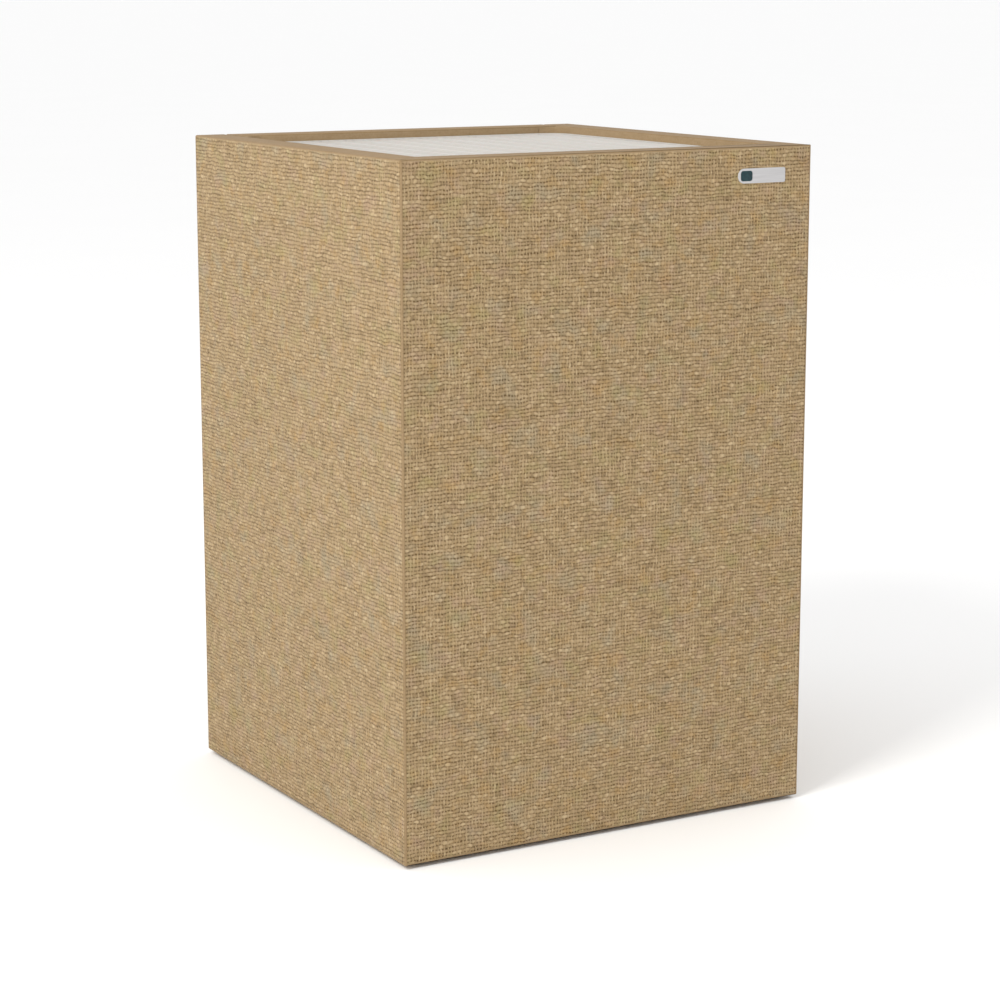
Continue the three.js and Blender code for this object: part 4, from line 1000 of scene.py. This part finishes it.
def paper_recipe(tree, place):
    fibres = noise(tree, place, 420, 4, 0.75, (1, 1, 0.4))
    cloudy = noise(tree, place, 45, 3, 0.6)
    mixed = mottled(tree, cloudy, (0.70, 0.69, 0.64), (0.82, 0.81, 0.77))
    return {"Base Color": mottled(tree, fibres, mixed, (0.60, 0.58, 0.52), 0.55, 0.75, 0.4),
            "Roughness": 0.92, "Normal": bumped(tree, fibres, 0.0002, 0.7)}


def board_recipe(tree, place):
    split = put(tree, "SeparateXYZ", {0: place})
    above = sums(tree, "GREATER_THAN", split.outputs[2], BOARD_TOP)
    bricks = put(tree, "TexBrick", {"Vector": place, "Scale": 90, "Mortar Size": 0.05}, offset=0.37)
    tracks = bricks.outputs["Fac"]
    mask = blend_colours(tree, tracks, (0.010, 0.075, 0.030), (0.022, 0.140, 0.055))
    parts = put(tree, "TexVoronoi", {"Vector": place, "Scale": 45}).outputs["Color"]
    shade = put(tree, "SeparateColor", {0: parts}).outputs[0]
    cases = blend_colours(tree, shade, (0.014, 0.014, 0.016), (0.10, 0.105, 0.12))
    return {"Base Color": blend_colours(tree, above, mask, cases),
            "Roughness": spread(tree, shade, 0, 1, 0.3, 0.5), "Normal": bumped(tree, tracks, 0.00005, 0.5)}


BOARD_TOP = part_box("control_board")[0].z + 0.0068
foam = finish("open_cell_foam", foam_recipe)
felt = finish("felted_board", felt_recipe)
carbon = finish("carbon_pellets", carbon_recipe)
card = finish("filter_card", card_recipe)
paper = finish("pleated_paper", paper_recipe)
circuit = finish("circuit_board", board_recipe)

# %% [markdown]
# ## Dressing the CAD parts
# Most CAD parts already have the right shape, so they only take a finish. The ones that are seen close
# to, at the rear, underneath and behind the door, would look sharp as knives with bare CAD edges. For
# these a merged copy gets its edges eased by a bevel and stands in for the node. The bevel goes by the
# slot: a few tenths of a millimetre on sheet metal, more on mouldings and most on rubber.

# %% Finishes by slot
by_slot = {"cloth": tape, "felt_board": felt, "white_plastic": white_plastic, "badge_plate": satin_plate,
           "dark_lens": dark_lens, "powder_coat": powder, "zinc_sheet": zinc, "bright_steel": bright,
           "rubber": rubber, "magnet": ferrite, "foam": foam, "black_plastic": black_plastic,
           "carbon": carbon, "filter_card": card, "filter_paper": paper, "laminations": laminations,
           "circuit_board": circuit}
slot_of = {part["node"]: part["material_slot"] for part in frame["record"]["subparts"]}
body_of = {node: body for body, nodes in frame["record"]["behaviour"]["bodies"].items() for node in nodes}
for node, slot in slot_of.items():
    NODES[node].material_slots[0].material = by_slot[slot]
print("finishes on", len(slot_of), "nodes")


# %% Eased copies
ease_of = dict.fromkeys(("powder_coat", "zinc_sheet"), 0.0004)
ease_of |= dict.fromkeys(("bright_steel", "black_plastic", "magnet", "filter_card"), 0.0006)
ease_of |= dict.fromkeys(("rubber", "laminations", "carbon"), 0.0015)
unlike_their_slot = {"strike_plate": 0.0004, "impeller": 0.0004, "motor_rotor": 0.0015,
                     "filter_gasket": 0.0015, "prefilter": None}
eased = []
for node, slot in slot_of.items():
    width = unlike_their_slot.get(node, ease_of.get(slot))
    if width:
        piece = soften(copied_node("eased_" + node, node), width, 2, 35)
        eased.append(dressed(piece, by_slot[slot], body_of[node]))
        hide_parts(node)
print(len(eased), "eased copies,", sum(triangles(piece) for piece in eased), "triangles")

# %% [markdown]
# ## Fixings
# Machine screws hold the service panel, the intake grille and the base, and small countersunk ones hold
# the hinges. One pan head is turned from a short cylinder: its top edge is rounded, and a cross recess
# is cut by a Boolean with two crossed bars. Each screw is a copy, scaled to its size and turned to its
# face, with a little different turn each time, as a screwdriver leaves them.

# %% One screw
HEAD = 0.55  # the height of a head of radius 1
nothing_selected()
bpy.ops.mesh.primitive_cylinder_add(vertices=24, radius=1.0, depth=HEAD, location=(0, 0, HEAD / 2))
screw = named("screw")
edit(screw)
choose(screw, lambda at, way: at.z > HEAD - 0.01 and abs(way.z) < 0.1, "EDGE")
bpy.ops.mesh.bevel(offset=0.4, segments=4)
done()
for x, y in ((0.62, 0.13), (0.13, 0.62)):
    bar = block("bar", (-x, -y, 0.22), (x, y, 0.8))
    apply_modifier(screw, "BOOLEAN", object=bar, operation="DIFFERENCE", solver="EXACT")
    thrown_away(bar)
smoothed(screw, 35)
print("screw:", triangles(screw), "triangles")


def driven(place, radius, way, height, number):
    """A copy of the screw on a face that looks along `way`."""
    head = copy_of(screw, "head")
    head.scale = (radius, radius, height / HEAD)
    head.rotation_euler = Vector(way).to_track_quat("Z", "Y").to_euler()
    head.rotation_euler.rotate_axis("Z", 0.7 * number)
    head.location = place
    bpy.ops.object.transform_apply(location=True, rotation=True, scale=True)
    return head


def fixings(name, body, places, radius, way, height):
    """One piece with a screw at each place, all facing the same way."""
    heads = [driven(place, radius, way, height, n) for n, place in enumerate(places)]
    return dressed(as_one(name, heads), bright, body)


# %% Where the screws go
panel_low, panel_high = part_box("service_panel")
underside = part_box("base_plate")[0].z
fixings("panel_screws", "cabinet",
        [(x, panel_high.y, z) for x in (-0.222, -0.09, 0.222)
         for z in (panel_low.z + 0.011, panel_high.z - 0.011)], 0.0034, (0, 1, 0), 0.0017)
fixings("intake_screws", "rear_door",
        [(x, intake_high.y, z) for x in (intake_low.x + 0.003, 0, intake_high.x - 0.003)
         for z in (intake_low.z + 0.003, intake_high.z - 0.003)], 0.0022, (0, 1, 0), 0.0011)
fixings("base_screws", "cabinet", [(x, y, underside) for x in (-0.222, 0, 0.222) for y in (-0.15, 0.15)],
        0.0036, (0, 0, -1), 0.0017)
for level in ("lower", "upper"):
    leaf_low, leaf_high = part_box(f"hinge_{level}_fixed_leaf")
    face = leaf_low.x + 0.0015
    fixings(f"hinge_{level}_screws", "cabinet",
            [(face, leaf_low.y + 0.009, leaf_low.z + share * (leaf_high.z - leaf_low.z))
             for share in (0.15, 0.5, 0.85)], 0.0026, (1, 0, 0), 0.0006)
strike_low, strike_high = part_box("strike_plate")
fixings("strike_screws", "rear_door",
        [((strike_low.x + strike_high.x) / 2, strike_low.y, z)
         for z in (strike_low.z + 0.006, strike_high.z - 0.006)], 0.002, (0, -1, 0), 0.0003)
arm_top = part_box("motor_bracket")[0].z + 0.002
ARM = 0.176  # from the motor's middle to the end of an arm
fixings("bracket_screws", "cabinet",
        [(ARM * math.cos(math.radians(angle)), ARM * math.sin(math.radians(angle)), arm_top)
         for angle in (90, 210, 330)], 0.0045, (0, 0, 1), 0.003)

# %% [markdown]
# ## Small mouldings
# The door opens by a slim black pull near its free edge: a flange on the cloth with a lip turned out
# for the fingers. The speed knob has a scale of eleven raised strokes, the three filters have finger
# tabs towards the door, and the motor's lead is held to the corner post by ties and leaves the control
# box through a rubber grommet.

# %% The door pull
pull_x = (door_high.x - 0.030, door_high.x - 0.006)
pull_z = (0.405, 0.495)
pull = block("door_pull", (pull_x[0], HALF + 0.0004, pull_z[0]), (pull_x[1], HALF + 0.0024, pull_z[1]))
edit(pull)
choose(pull, lambda at, normal: normal.x < -0.9)
drawn_out(-0.0022, 0, 0)
choose(pull, lambda at, normal: normal.y > 0.9 and at.x < pull_x[0])
drawn_out(-0.0016, 0.0075, 0)
choose(pull, lambda at, normal: at.y > HALF + 0.009)
drawn_out(-0.0030, 0.0012, 0)
faced_out()
dressed(soften(pull, 0.0009, 3, 25), black_plastic, "rear_door")

# %% The knob's scale
knob_low, knob_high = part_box("speed_knob")
knob_x, knob_z = (knob_low.x + knob_high.x) / 2, (knob_low.z + knob_high.z) / 2
stroke = block("stroke", (knob_x - 0.00045, panel_high.y, knob_z + 0.0145),
               (knob_x + 0.00045, panel_high.y + 0.00025, knob_z + 0.0180), 0.0001)
strokes = []
for n in range(11):  # the pointer starts straight down and turns through 270 degrees
    strokes.append(turned(copy_of(stroke, "stroke"), math.radians(180 + 27 * n), "Y", (knob_x, 0, knob_z)))
thrown_away(stroke)
scale = dressed(as_one("knob_scale", strokes), white_plastic, "cabinet")

# %% Filter tabs
for node, slot in (("prefilter", "black_plastic"), ("carbon_filter", "black_plastic"),
                   ("fine_filter_frame", "filter_card")):
    low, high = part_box(node)
    middle = (low.z + high.z) / 2
    tab = block(node + "_tab", (-0.022, high.y - 0.0005, middle - 0.0008),
                (0.022, high.y + 0.014, middle + 0.0008))
    edit(tab)
    choose(tab, lambda at, way: at.y > high.y + 0.013 and abs(way.z) > 0.9, "EDGE")
    bpy.ops.mesh.bevel(offset=0.008, segments=6)
    done()
    dressed(soften(tab, 0.0005, 2), by_slot[slot], "cabinet")

# %% Ties and grommet of the motor's lead
lead = []
for z in (0.30, 0.38, 0.44):
    nothing_selected()
    bpy.ops.mesh.primitive_torus_add(major_radius=0.0043, minor_radius=0.0007, major_segments=24,
                                     minor_segments=8, location=(0.223, 0.219, z))
    hoop = named("hoop")
    lead += [hoop, block("lock", (0.2165, 0.217, z - 0.0018), (0.2195, 0.221, z + 0.0018), 0.0005)]
ties_piece = as_one("lead_ties", lead)
nothing_selected()
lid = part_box("control_box")[1].z
bpy.ops.mesh.primitive_torus_add(major_radius=0.0052, minor_radius=0.0016, major_segments=28,
                                 minor_segments=10, location=(0.170, 0.191, lid + 0.0004))
grommet = named("lead_grommet")
for piece, slot in ((ties_piece, "white_plastic"), (grommet, "rubber")):
    dressed(smoothed(piece), by_slot[slot], "cabinet")
thrown_away(screw)

# %% The end
low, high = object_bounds()
print("visual box", tuple(low), tuple(high))
